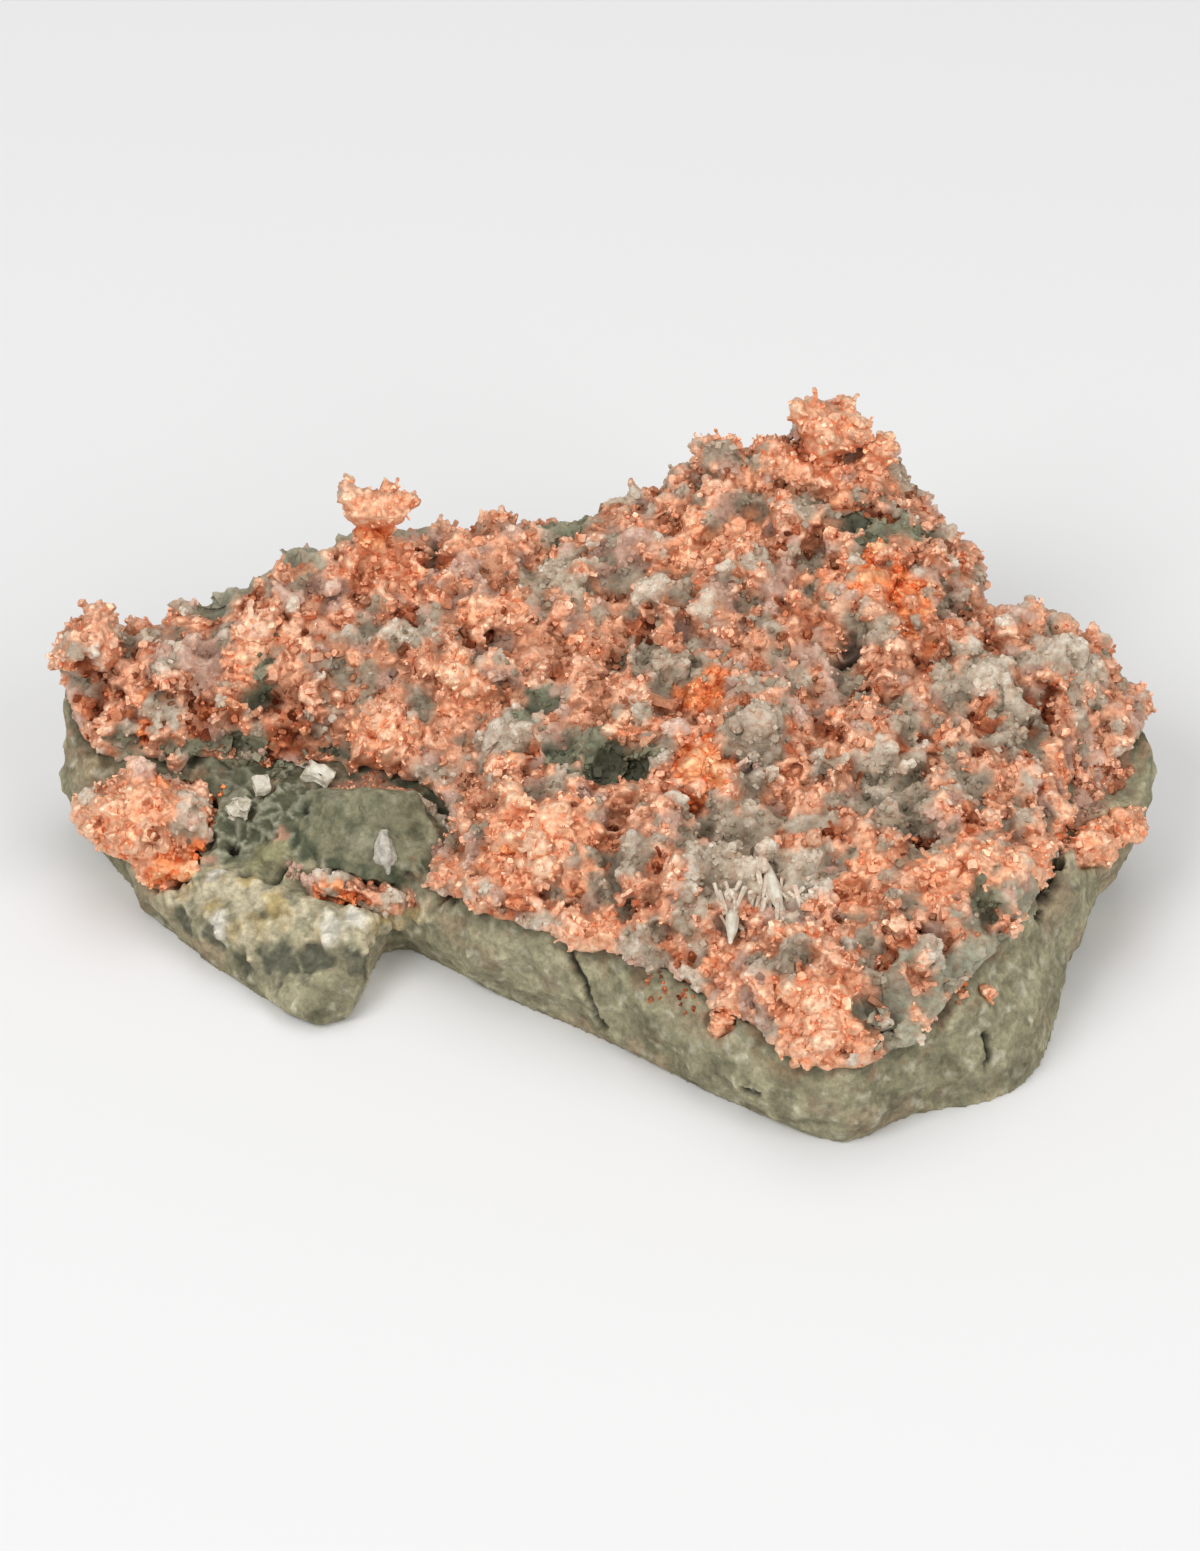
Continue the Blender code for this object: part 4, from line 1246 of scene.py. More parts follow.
METAL = GrainRelief(0.40, 0.40, 0.18)
STONE = GrainRelief(0.20, 0.26, 0.20)


@dataclass
class Encrustation:
    """A solid of the crust, covered with clumps and broken up in grains of its minerals."""

    node: str
    name: str
    chart: CrustMap
    big_clumps: int
    small_clumps: int
    clump_scale: float = 1.0
    inset: float = 0.6
    settling: float = 0.4
    pitch: float = 0.37
    grain: float = 1.35
    small_grain: float = 0.8
    hue_drift: Colour = (0.02, 0.05, 0.08)
    paleness: float = 0.0
    seed: int = 7
    skin: Skin = field(init=False)
    kinds: np.ndarray = field(init=False)
    tones: np.ndarray = field(init=False)

    def heap(self, count: int, sizes: tuple[float, float, float],
             lift: tuple[float, float]) -> None:
        """Cover the surface with clumps and fuse them with it.

        Args:
            count: How many clumps.
            sizes: Least, most common and greatest breadth of a clump.
            lift: Lowest and highest place of a clump's middle, in shares of its breadth.
        """
        rng = np.random.default_rng(self.seed + count)
        places, normals, _ = self.skin.sample(count, rng, -0.35)
        breadth = rng.triangular(*sizes, count) * self.clump_scale * slenderness(places)
        scale = breadth[:, None] * rng.uniform(0.75, 1.25, (count, 3))
        raised = places + normals * (rng.uniform(*lift, count) * breadth)[:, None]
        shapes = [GrainShape(GrainKind.NUGGET), GrainShape(GrainKind.CUBE)]
        blank = np.zeros((count, 3))
        clumps = Grains("clumps", shapes, self.seed).build(
            raised, normals, scale, blank, blank[:, 0], LEAN)
        activate(self.skin.obj)
        clumps.select_set(True)
        bpy.ops.object.join()
        self.skin.remesh(self.pitch)

    def make_room(self) -> None:
        """Pull the surface in, to leave room for clumps, and the underside down on the rock."""
        points, normals = self.skin.points(), self.skin.normals()
        slender = slenderness(points)
        under = ramp(-normals[:, 2], 0.5, 0.9) * (slender > 0.9)
        points -= normals * (self.inset * slender * (1.0 - under))[:, None]
        points[:, 2] -= self.settling * under
        self.skin.write(points)

    def shape(self) -> None:
        """Build the surface: the solid, clumps, and a dome on each grain."""
        self.skin = Skin(solid_copy([self.node], self.name))
        self.make_room()
        self.heap(self.big_clumps, (1.8, 2.8, 5.4), (-0.30, 0.08))
        self.heap(self.small_clumps, (0.7, 1.1, 2.0), (-0.25, 0.18))
        self.skin.thin()
        rng = np.random.default_rng(self.seed)
        points = self.skin.points()
        grains = Cells(points, self.grain, 3.0)
        self.kinds = self.chart.pick(grains.centres)[grains.member]
        metal = np.isin(self.kinds, METALS)
        height = np.where(metal, METAL.dome, STONE.dome) * (grains.dome() - 0.5)
        height += np.where(metal, METAL.unevenness, STONE.unevenness) * (grains.chance(rng) - 0.5)
        small = Cells(points, self.small_grain, 8.0)
        height += np.where(metal, METAL.small_dome, STONE.small_dome) * (small.dome() - 0.5)
        pits = layered(points, (1.0, 2.6, 30.0), (0.4, 1.2, 33.0))
        height -= 0.40 * ramp(pits, 0.4, 0.9)
        height += np.array([RISES[mineral] for mineral in MINERALS])[self.kinds]
        height += 0.60 * soft(points, 4.2, 37.0) * slenderness(points)
        height += swell(points)
        under = ramp(-self.skin.normals()[:, 2], 0.2, 0.7)
        self.skin.push(height * (1.0 - 0.8 * under))
        # Painted light: proud places take a lighter tone as painted highlight and sunk ones a
        # darker tone as painted shade; the cell chances add random tone.
        stand = 0.60 * self.skin.relief(8) + 0.40 * self.skin.relief(60)
        self.tones = np.clip(MIDDLE_TONE + self.paleness + stand + 0.22 * (grains.chance(rng) - 0.5)
                             + 0.12 * (small.chance(rng) - 0.5), 0.0, 1.0)

    def area(self) -> float:
        """Give the surface's area in square millimetres."""
        return sum(face.area for face in self.skin.obj.data.polygons) / MM ** 2

    def dress(self, finish: bpy.types.Material) -> bpy.types.Object:
        """Colour the surface and hand it over.

        Args:
            finish: The crust's material.

        Returns:
            The piece.
        """
        # The tones paint highlights on proud places and shade in sunk ones.
        colours, metal = mineral_colours(self.kinds, self.tones)
        drift = soft(self.skin.points(), 6.0, 140.0)[:, None]
        colours = colours * (1.0 + drift * np.array(self.hue_drift))
        self.skin.paint(self.skin.neighbours_mean(colours, 2),
                        self.skin.neighbours_mean(metal, 2))
        self.skin.lay_out()
        self.skin.shade_smooth()
        return settle(self.skin.obj, finish, (self.node,))


def mineral_colours(kinds: np.ndarray, tones: np.ndarray) -> tuple[np.ndarray, np.ndarray]:
    """Colour places by their mineral, with painted shade in gaps and painted highlights on tips.

    Args:
        kinds: Index into MINERALS for each place.
        tones: From 0, deep in a gap, to 1, on a tip.

    Returns:
        The colours, and how metallic each place is.
    """
    looks = [LOOKS[mineral] for mineral in MINERALS]
    table = np.array([(look.deep, look.side, look.tip) for look in looks])[kinds]
    deep, side, tip = table.transpose(1, 0, 2)
    lower = blend(deep, side, np.clip(tones / SIDE_TONE, 0.0, 1.0))
    colours = blend(lower, tip, np.clip((tones - SIDE_TONE) / (1.0 - SIDE_TONE), 0.0, 1.0))
    return colours, np.array([look.metal for look in looks])[kinds]


@dataclass
class CrustCrystals:
    """Crystals of copper and grains of stone, scattered over the crust and its lumps."""

    bases: list[Encrustation]
    copper: int = 8200                  # counted as if all the crust were copper
    stones: int = 10_800                # counted as if all the crust were stone
    size_spread: float = 0.34
    needle_bed: tuple[float, float, float, float] = (15.0, -19.4, 4.4, 2.6)
    needle_way: tuple[float, float, float] = (0.05, -0.85, -0.45)
    needle_count: int = 26
    needle_trials: int = 16_000
    seed: int = 31

    def scatter(self, name: str, wanted: list[int], count: int, breadth: float,
                shapes: list[GrainKind], seed: int) -> bpy.types.Object:
        """Scatter copies of crystal shapes where the crust consists of wanted minerals.

        Args:
            name: Name of the piece.
            wanted: Indices into MINERALS.
            count: How many crystals, counted as if all the crust were wanted.
            breadth: Usual breadth in millimetres.
            shapes: The crystal shapes.
            seed: Sets the scatter.

        Returns:
            The piece.
        """
        rng = np.random.default_rng(seed)
        whole = sum(base.area() for base in self.bases)
        rows = []
        for base in self.bases:
            share = int(count * base.area() / whole)
            places, normals, vertex = base.skin.sample(share, rng, -0.45)
            kept = np.isin(base.kinds[vertex], wanted)
            vertex = vertex[kept]
            scale = np.full(len(vertex), 0.5 + 0.5 * base.clump_scale)
            rows.append((places[kept], normals[kept], base.kinds[vertex],
                         base.tones[vertex], scale))
        places, normals, kinds, tones, scale = (np.concatenate(part) for part in zip(*rows))
        number = len(places)
        sizes = breadth * (scale * rng.lognormal(0.0, self.size_spread, number))[:, None]
        sizes = sizes * rng.uniform(*STRETCH, (number, 3))
        # Crystals take the painted light and shade of the crust's tone beneath them, plus random
        # tone.
        tones = np.clip(tones + rng.normal(0.03, 0.11, number), 0.0, 1.0)
        colours, metal = mineral_colours(kinds, tones)
        models = [GrainShape(kind) for kind in shapes]
        return Grains(name, models, seed + 1).build(
            places, normals, sizes, colours, metal, LEAN)

    def build(self, finish: bpy.types.Material) -> None:
        """Build and dress the crystals.

        Args:
            finish: The crust's material.
        """
        crystals = self.scatter("copper_crystals", METALS, self.copper, 0.72,
                                [GrainKind.HACKLE, GrainKind.CUBE, GrainKind.HACKLE,
                                 GrainKind.NUGGET, GrainKind.TWIG], self.seed)
        settle(crystals, finish)
        grains = self.scatter("mineral_grains", STONES, self.stones, 0.58,
                              [GrainKind.RHOMB, GrainKind.CUBE, GrainKind.NUGGET],
                              self.seed + 10)
        settle(grains, finish)
        settle(self.needles(), finish)

    def needles(self) -> bpy.types.Object:
        """Lay long calcite crystals down the slope of the pale bed.

        Returns:
            The piece.
        """
        rng = np.random.default_rng(self.seed + 20)
        places, normals, _ = self.bases[0].skin.sample(self.needle_trials, rng, 0.1)
        reach = oval_reach(places, *self.needle_bed)
        kept = np.flatnonzero(reach < 1.0)[:self.needle_count]
        count = len(kept)
        lean = np.array(self.needle_way) + 0.35 * rng.normal(size=(count, 3))
        breadth = rng.uniform(1.1, 1.9, (count, 1))
        sizes = np.hstack([breadth, breadth, rng.uniform(1.5, 3.6, (count, 1))])
        kinds = np.full(count, MINERALS.index(Mineral.PALE))
        colours, metal = mineral_colours(kinds, rng.uniform(0.55, 1.0, count))
        return Grains("calcite_needles", [GrainShape(GrainKind.LATH)], self.seed + 21).build(
            places[kept] + 0.35 * normals[kept], lean, sizes, colours, metal, 0.0)


# Where grains stray on to the rock beyond the crust: x, y, z, radius, how many, breadth.
STRAYS = {
    Mineral.RUST: [(5.0, -24.6, 9.9, 1.6, 14, 0.5), (8.6, -26.6, 9.7, 1.4, 14, 0.5)],
    Mineral.COPPER: [
        (51.3, 3.7, 12.8, 1.4, 18, 0.8), (48.5, 0.4, 13.6, 1.2, 12, 0.8),
        (45.8, -7.2, 15.2, 1.6, 46, 0.9), (44.9, -9.4, 14.6, 1.4, 40, 0.9),
        (47.0, -5.0, 14.8, 1.4, 34, 0.9), (37.1, -26.4, 14.6, 1.6, 14, 0.7),
        (34.4, -29.0, 13.0, 1.7, 12, 0.7), (39.4, -23.6, 15.6, 1.5, 12, 0.7),
        (41.6, -19.2, 16.6, 1.4, 12, 0.8), (-23.2, 2.7, 12.3, 1.7, 22, 0.6),
        (-20.6, 1.2, 13.2, 1.2, 14, 0.6), (-25.8, 2.6, 12.8, 1.1, 10, 0.6),
        (-19.0, -9.4, 7.8, 1.0, 16, 0.6), (-16.0, -7.6, 10.6, 1.0, 12, 0.6),
        (49.2, 1.2, 14.2, 2.2, 60, 0.9), (51.6, 3.6, 13.4, 2.0, 60, 0.9),
    ],
    Mineral.RED: [
        (-39.2, 3.3, 11.2, 1.1, 8, 0.7), (-39.8, -0.6, 10.7, 0.9, 10, 0.7),
        (-40.8, -3.2, 9.6, 1.0, 14, 0.8), (45.2, -8.4, 14.8, 1.2, 20, 0.8),
        (-28.6, -8.6, 9.6, 0.9, 14, 0.6), (35.6, -27.6, 12.9, 1.4, 6, 0.7),
    ],
    Mineral.PALE: [
        (-17.2, -1.6, 13.3, 1.0, 30, 0.8), (-15.5, -2.8, 11.7, 0.9, 24, 0.8),
        (-18.4, -0.6, 13.4, 0.7, 14, 0.7), (-50.6, 5.2, 12.6, 0.9, 10, 0.7),
    ],
    Mineral.PINK: [
        (-16.4, -6.4, 11.4, 1.1, 22, 0.7), (-30.8, -6.6, 8.9, 0.9, 16, 0.7),
        (50.0, 2.6, 14.0, 2.4, 60, 0.9), (48.4, -2.0, 13.8, 1.8, 40, 0.9),
    ],
    Mineral.GREEN: [
        (-37.0, 6.0, 13.6, 1.6, 30, 0.8), (-32.5, 4.8, 13.4, 1.5, 24, 0.8),
        (-15.2, -9.6, 9.6, 1.2, 18, 0.8),
    ],
}


@dataclass
class StrayGrains:
    """Crystals that stray on to the rock."""

    rock: Skin
    trials: int = 120_000
    seed: int = 71

    def build(self, finish: bpy.types.Material) -> bpy.types.Object:
        """Build and dress the crystals.

        Args:
            finish: The crust's material.

        Returns:
            The piece.
        """
        rng = np.random.default_rng(self.seed)
        places, normals, _ = self.rock.sample(self.trials, rng, -0.6)
        chosen, kinds, breadths = [], [], []
        for mineral, groups in STRAYS.items():
            for x, y, z, radius, count, breadth in groups:
                reach = np.linalg.norm(places - (x, y, z), axis=1)
                near = np.flatnonzero(reach < radius)[:count]
                chosen.append(near)
                kinds.append(np.full(len(near), MINERALS.index(mineral)))
                breadths.append(np.full(len(near), breadth))
        chosen = np.concatenate(chosen)
        number = len(chosen)
        colours, metal = mineral_colours(np.concatenate(kinds), rng.beta(2.0, 2.6, number))
        sizes = (np.concatenate(breadths) * rng.lognormal(0.0, 0.3, number))[:, None]
        sizes = sizes * rng.uniform(*STRETCH, (number, 3))
        shapes = [GrainShape(GrainKind.HACKLE), GrainShape(GrainKind.NUGGET)]
        piece = Grains("stray_grains", shapes, self.seed).build(
            places[chosen], normals[chosen], sizes, colours, metal, LEAN)
        return settle(piece, finish)


class RockZone(Enum):
    """Parts of the slab that differ from its beige rock.

    The holes' near black is painted shade, and the rim's dark green partly so.
    """

    CREAM = "cream calcite"
    WHITE = "white calcite"
    OCHRE = "iron-stained calcite"
    TERRACE = "dark green chlorite with a net of pale veins"
    LENS = "smooth grey-green lens"
    RIM = "dark green rim"
    OLIVE = "olive block"
    PINK = "pink dusting of copper"
    SHADE = "dark grey-green band"
    HOLE = "deep hole"


ZONE_COLOURS = {
    RockZone.CREAM: (0.56, 0.49, 0.335),
    RockZone.WHITE: (0.66, 0.62, 0.53),
    RockZone.OCHRE: (0.42, 0.32, 0.14),
    RockZone.TERRACE: (0.088, 0.094, 0.056),
    RockZone.LENS: (0.205, 0.195, 0.118),
    RockZone.RIM: (0.075, 0.092, 0.055),
    # The rim's dark green is partly its own colour, partly painted shade round the lens.
    RockZone.OLIVE: (0.30, 0.28, 0.15),
    RockZone.PINK: (0.46, 0.25, 0.165),
    RockZone.SHADE: (0.115, 0.115, 0.080),
    # The holes' near black is painted shade.
    RockZone.HOLE: (0.022, 0.020, 0.014),
}


@dataclass(frozen=True)
class Stain:
    """A colour that lies where coarse and fine noise together are high.

    Coarse noise has a breadth and a seed, and fine noise a strength, a breadth and a seed. The
    edge is the noise at which the stain starts and the noise at which it is full.
    """

    colour: Colour
    strength: float
    coarse: tuple[float, float]
    fine: tuple[float, float, float]
    edge: tuple[float, float]

    def lay(self, colours: np.ndarray, points: np.ndarray,
            share: np.ndarray | float = 1.0) -> np.ndarray:
        """Lay the stain over rows of colours.

        Args:
            colours: One colour for each place.
            points: The places.
            share: How much of the stain each place takes.

        Returns:
            The stained colours.
        """
        spread = ramp(layered(points, (1.0, *self.coarse), self.fine), *self.edge)
        return blend(colours, np.array(self.colour), self.strength * spread * share)


ROCK_COLOUR = (0.262, 0.242, 0.150)
VEIN_COLOUR = (0.36, 0.35, 0.25)
SHADED_COLOUR = (0.075, 0.075, 0.045)       # painted shade close under the crust's edge
# The cracks' near black is painted shade.
CRACK_COLOUR = (0.03, 0.028, 0.02)
ROCK_STAINS = [
    Stain((0.385, 0.35, 0.225), 1.0, (5.5, 20.0), (0.5, 1.8, 22.0), (-0.6, 0.7)),
    Stain((0.33, 0.24, 0.155), 0.55, (6.0, 24.0), (0.5, 2.2, 25.0), (0.1, 0.8)),
    Stain((0.17, 0.16, 0.095), 0.6, (1.8, 26.0), (0.6, 0.8, 28.0), (0.35, 0.9)),
    Stain((0.56, 0.53, 0.40), 0.6, (1.3, 34.0), (0.5, 0.6, 36.0), (0.5, 0.9)),
]
ZONE_STAINS = {
    RockZone.CREAM: [
        Stain((0.17, 0.16, 0.10), 0.7, (1.5, 110.0), (0.7, 0.7, 112.0), (0.15, 0.8)),
        Stain((0.48, 0.36, 0.16), 0.6, (1.8, 115.0), (0.5, 0.8, 117.0), (0.3, 0.9)),
    ],
    RockZone.LENS: [
        Stain((0.10, 0.105, 0.065), 0.6, (1.7, 120.0), (0.6, 0.7, 122.0), (0.1, 0.7)),
        Stain((0.34, 0.32, 0.22), 0.6, (1.9, 124.0), (0.5, 0.8, 126.0), (0.3, 0.8)),
    ],
}
# The rusty colour that the rock takes beside the crust.
COPPER_STAIN = Stain((0.30, 0.15, 0.085), 0.5, (2.0, 90.0), (0.6, 0.9, 92.0), (0.1, 0.7))

# Balls of each zone: x, y, z, radius. Later zones lie over earlier ones.
ZONES = {
    RockZone.TERRACE: [
        (-36.0, 4.5, 15.0, 4.8), (-31.0, 3.5, 14.0, 4.8), (-34.0, -0.5, 12.0, 4.8),
        (-30.0, -2.0, 13.0, 3.6), (-37.5, -2.0, 10.5, 3.2), (-41.5, 5.0, 13.0, 3.2),
        (-28.0, 1.0, 13.0, 3.2), (-19.0, 4.0, 12.5, 2.8), (-15.5, 0.5, 12.5, 2.8),
        (-24.0, 5.0, 13.0, 3.0), (-16.5, -7.5, 9.5, 2.6),
    ],
    RockZone.LENS: [(-25.5, -3.6, 12.8, 4.8), (-21.0, -4.6, 12.6, 4.6)],
    # Partly painted shade round the lens.
    RockZone.RIM: [
        (-29.2, -6.4, 10.8, 1.3), (-26.7, -7.9, 10.4, 1.3), (-24.1, -8.8, 10.3, 1.4),
        (-20.5, -9.2, 9.8, 1.4), (-18.9, 3.8, 12.5, 1.8), (-27.5, 0.2, 13.0, 0.9),
        (-22.4, -9.6, 9.8, 1.6), (-18.2, -6.6, 11.4, 1.4), (-17.6, -3.0, 12.8, 1.2),
        (-29.6, -1.6, 12.8, 1.0), (-30.2, -4.4, 11.6, 1.0),
    ],
    RockZone.SHADE: [
        (-42.4, -8.7, 3.6, 1.4), (-39.2, -12.0, 4.0, 1.4), (-36.6, -14.7, 3.7, 1.4),
        (-32.4, -15.2, 4.7, 2.0), (-28.5, -16.3, 5.2, 2.0), (-24.0, -15.5, 4.6, 2.0),
        (-19.5, -12.0, 4.0, 1.6), (46.4, -5.0, 14.6, 1.6),
    ],
    RockZone.CREAM: [
        (-39.4, -5.2, 8.0, 1.8), (-42.0, -6.5, 5.8, 1.8), (-37.6, -8.5, 6.8, 3.2),
        (-34.1, -10.4, 7.7, 3.2), (-31.6, -11.2, 7.7, 2.6), (-35.1, -12.6, 5.6, 1.6),
        (-27.8, -13.2, 7.2, 2.2), (-24.1, -12.8, 7.5, 2.4), (-20.7, -10.8, 6.0, 2.2),
        (-18.2, -10.3, 6.9, 1.6),
    ],
    RockZone.OCHRE: [
        (-32.5, -10.9, 7.7, 1.4), (-22.0, -11.8, 6.4, 1.5), (-19.0, -10.4, 6.6, 1.3),
        (-35.5, -7.5, 7.6, 1.0), (-38.2, -9.2, 6.2, 0.9),
    ],
    RockZone.WHITE: [
        (-37.9, -11.2, 5.9, 1.3), (-27.0, -13.6, 7.3, 1.4), (-24.5, -13.0, 7.6, 1.1),
        (-38.5, -6.5, 7.6, 1.0), (-17.2, -1.6, 13.3, 1.0), (-15.5, -2.8, 11.7, 0.9),
        (-18.3, -0.4, 13.1, 0.7),
    ],
    RockZone.OLIVE: [(-33.1, -4.8, 9.6, 1.7), (-34.8, -5.4, 8.6, 1.3), (-31.9, -4.6, 10.6, 1.1)],
    RockZone.PINK: [
        (-23.2, 2.5, 12.3, 2.2), (-26.2, 1.4, 12.9, 2.0), (-20.5, 1.2, 12.8, 1.8),
        (-22.6, 0.2, 13.2, 1.6), (50.4, 2.6, 14.0, 2.4), (48.6, -0.8, 13.8, 2.2),
        (52.2, 5.4, 12.8, 1.8), (47.4, -3.6, 13.8, 1.4), (-16.0, -7.3, 11.0, 1.0),
        (-19.2, -9.4, 7.8, 1.2), (-32.0, -3.6, 11.2, 0.8), (-39.4, -4.0, 8.5, 0.8),
    ],
    # Holes are sunk and painted near black as shade.
    RockZone.HOLE: [
        (-34.6, 1.8, 13.3, 1.4), (-28.9, 0.7, 13.2, 0.9), (-29.8, -2.1, 13.0, 0.7),
        (-37.1, -3.1, 9.1, 0.7), (-15.0, -10.6, 10.0, 1.3), (-18.5, -4.6, 12.5, 0.6),
        (-32.2, -6.7, 8.2, 0.7), (-35.8, -6.6, 7.8, 0.6), (45.3, -10.4, 14.6, 0.9),
        (44.9, -12.8, 15.0, 0.9), (44.4, -15.0, 14.6, 1.0), (43.4, -16.6, 14.2, 0.9),
        (42.9, -17.8, 12.8, 0.7),
    ],
}
# Bosses and hollows of the rock: x, y, z, radius, height.
ROCK_SWELLS = [
    (-24.0, -3.2, 13.0, 5.6, 1.8), (-22.0, -6.4, 11.8, 3.6, 0.7), (-18.4, -5.0, 12.4, 1.8, -1.3),
    (-19.6, -8.4, 9.8, 2.0, -0.7), (-28.8, -6.6, 10.6, 1.6, -0.6), (-33.5, 3.6, 13.6, 3.4, -0.8),
    (-29.4, -2.4, 12.6, 1.8, -0.8), (-33.0, -4.8, 9.8, 1.8, 0.7),
]
# Cracks: the places that each one passes through.
CRACKS = [
    [(-3.4, -18.6, 11.0), (-2.9, -19.7, 8.7), (-1.5, -21.6, 6.1), (0.2, -22.9, 2.6)],
    [(43.4, -15.8, 19.0), (43.7, -16.8, 16.6), (43.0, -17.8, 14.2)],
    [(37.6, -29.2, 7.2), (37.9, -30.0, 4.6)],
    [(7.0, -29.6, 6.0), (11.5, -33.0, 4.4), (15.0, -34.6, 4.0)],
    [(-13.5, -13.0, 8.6), (-11.0, -15.4, 6.4), (-8.6, -16.8, 5.8)],
    [(28.0, -35.4, 4.8), (31.6, -34.8, 3.4)],
]


@dataclass
class RockSlab:
    """The slab of altered rock under the crust."""

    crust: np.ndarray
    pitch: float = 0.40
    crack_width: float = 0.62
    skin: Skin = field(init=False)

    def crack_share(self, points: np.ndarray) -> np.ndarray:
        """Give 1 in a crack, falling to 0 beside it.

        Args:
            points: One row of x, y, z in millimetres for each place.

        Returns:
            A share for each place.
        """
        strayed = points + 0.35 * wander(points, 1.4, (60.0, 63.0, 66.0))
        share = np.zeros(len(points))
        for path in CRACKS:
            for start, end in zip(np.array(path)[:-1], np.array(path)[1:]):
                along = end - start
                place = np.clip((strayed - start) @ along / (along @ along), 0.0, 1.0)
                gap = np.linalg.norm(strayed - start - place[:, None] * along, axis=1)
                share = np.maximum(share, 1.0 - ramp(gap, 0.1, self.crack_width))
        return share

    def zone_share(self, zone: RockZone, points: np.ndarray) -> np.ndarray:
        """Give 1 inside a zone's balls, falling to 0 outside them.

        Args:
            zone: The zone.
            points: One row of x, y, z in millimetres for each place.

        Returns:
            A share for each place.
        """
        stray = wander(points, 2.0, (70.0, 73.0, 76.0))
        stray += 0.6 * wander(points, 0.9, (80.0, 83.0, 86.0))
        share = np.zeros(len(points))
        for x, y, z, radius in ZONES[zone]:
            strayed = points + stray * min(0.5 * radius, 1.0)
            share = np.maximum(share, 1.0 - ramp(ball_reach(strayed, x, y, z, radius), 0.7, 1.2))
        return share

    def relief(self, points: np.ndarray, shares: dict[RockZone, np.ndarray]) -> np.ndarray:
        """Give the height of the rock's fine relief.

        Args:
            points: The vertices' places.
            shares: How much of each zone a vertex belongs to.

        Returns:
            A height for each vertex.
        """
        broken = ridges(points, 0.50, 0.5, 5.5, 1.0) + ridges(points, 0.42, 0.4, 2.6, 4.0)
        broken += layered(points, (0.12, 1.2, 7.0), (0.05, 0.6, 9.0))
        smooth = layered(points, (0.28, 2.6, 14.0), (0.12, 0.9, 17.0))
        height = blend(broken[:, None], smooth[:, None], 0.85 * shares[RockZone.LENS])[:, 0]
        for x, y, z, radius, rise in ROCK_SWELLS:
            height += rise * (1.0 - ramp(ball_reach(points, x, y, z, radius), 0.1, 1.0))
        height += shares[RockZone.TERRACE] * (0.26 * self.net(points) - 0.25)
        rough = 0.30 * soft(points, 1.0, 100.0) + ridges(points, 0.22, 0.4, 1.7, 103.0)
        height += 0.2 * shares[RockZone.WHITE] + (0.3 + rough) * shares[RockZone.CREAM]
        height += 0.5 * shares[RockZone.OLIVE] - 0.3 * shares[RockZone.SHADE]
        height -= 1.6 * shares[RockZone.HOLE] + 0.9 * self.crack_share(points)
        return height

    def net(self, points: np.ndarray) -> np.ndarray:
        """Give 1 on the pale veins of the terrace, falling to 0 between them.

        Args:
            points: One row of x, y, z in millimetres for each place.

        Returns:
            A share for each place.
        """
        stray = wander(points, 1.6, (42.0, 44.0, 46.0))
        found = Cells(points + 0.5 * stray, 1.9, 40.0)
        return 1.0 - ramp(found.next_near - found.near, 0.03, 0.24)

    def colours(self, points: np.ndarray, stand: np.ndarray,
                shares: dict[RockZone, np.ndarray]) -> np.ndarray:
        """Colour the rock.

        Args:
            points: The vertices' places.
            stand: How far each vertex stands out; it paints light on proud places and shade in sunk
                ones.
            shares: How much of each zone a vertex belongs to.

        Returns:
            A colour for each vertex.
        """
        colours = np.tile(ROCK_COLOUR, (len(points), 1))
        for stain in ROCK_STAINS:
            colours = stain.lay(colours, points)
        # Painted shade towards the bottom: darker, with stronger mottle standing in for the shading
        # of the foot's facets.
        low = 1.0 - ramp(points[:, 2], 3.0, 9.0)
        broad = layered(points, (1.0, 4.0, 130.0), (0.5, 2.0, 132.0))
        colours *= (1.0 - 0.09 * low + (0.06 + 0.16 * low) * broad)[:, None]
        for zone in ZONES:
            colours = blend(colours, np.array(ZONE_COLOURS[zone]), 0.9 * shares[zone])
            for stain in ZONE_STAINS.get(zone, []):
                colours = stain.lay(colours, points, shares[zone])
            if zone is RockZone.TERRACE:
                net = self.net(points) * shares[zone]
                colours = blend(colours, np.array(VEIN_COLOUR), 0.75 * net)
        gap = self.crust_gap(points)
        colours = COPPER_STAIN.lay(colours, points, 1.0 - ramp(gap, 1.0, 4.0))
        # Painted shade close under the crust's edge.
        colours = blend(colours, np.array(SHADED_COLOUR),
                        0.6 * (1.0 - ramp(gap + 0.5 * soft(points, 1.0, 94.0), 0.5, 1.8)))
        # Painted shade in the cracks, which are sunk too.
        colours = blend(colours, np.array(CRACK_COLOUR), 0.9 * self.crack_share(points))
        # Painted light and shade: proud places lighter, sunk ones darker.
        colours = colours * np.clip(1.0 + 0.9 * stand, 0.55, 1.35)[:, None]
        return colours

    def crust_gap(self, points: np.ndarray) -> np.ndarray:
        """Give each place's distance to the crust.

        Args:
            points: One row of x, y, z in millimetres for each place.

        Returns:
            A distance in millimetres for each place.
        """
        tree = KDTree(len(self.crust))
        for number, place in enumerate(self.crust.tolist()):
            tree.insert(place, number)
        tree.balance()
        return np.array([tree.find(place)[2] for place in points.tolist()])

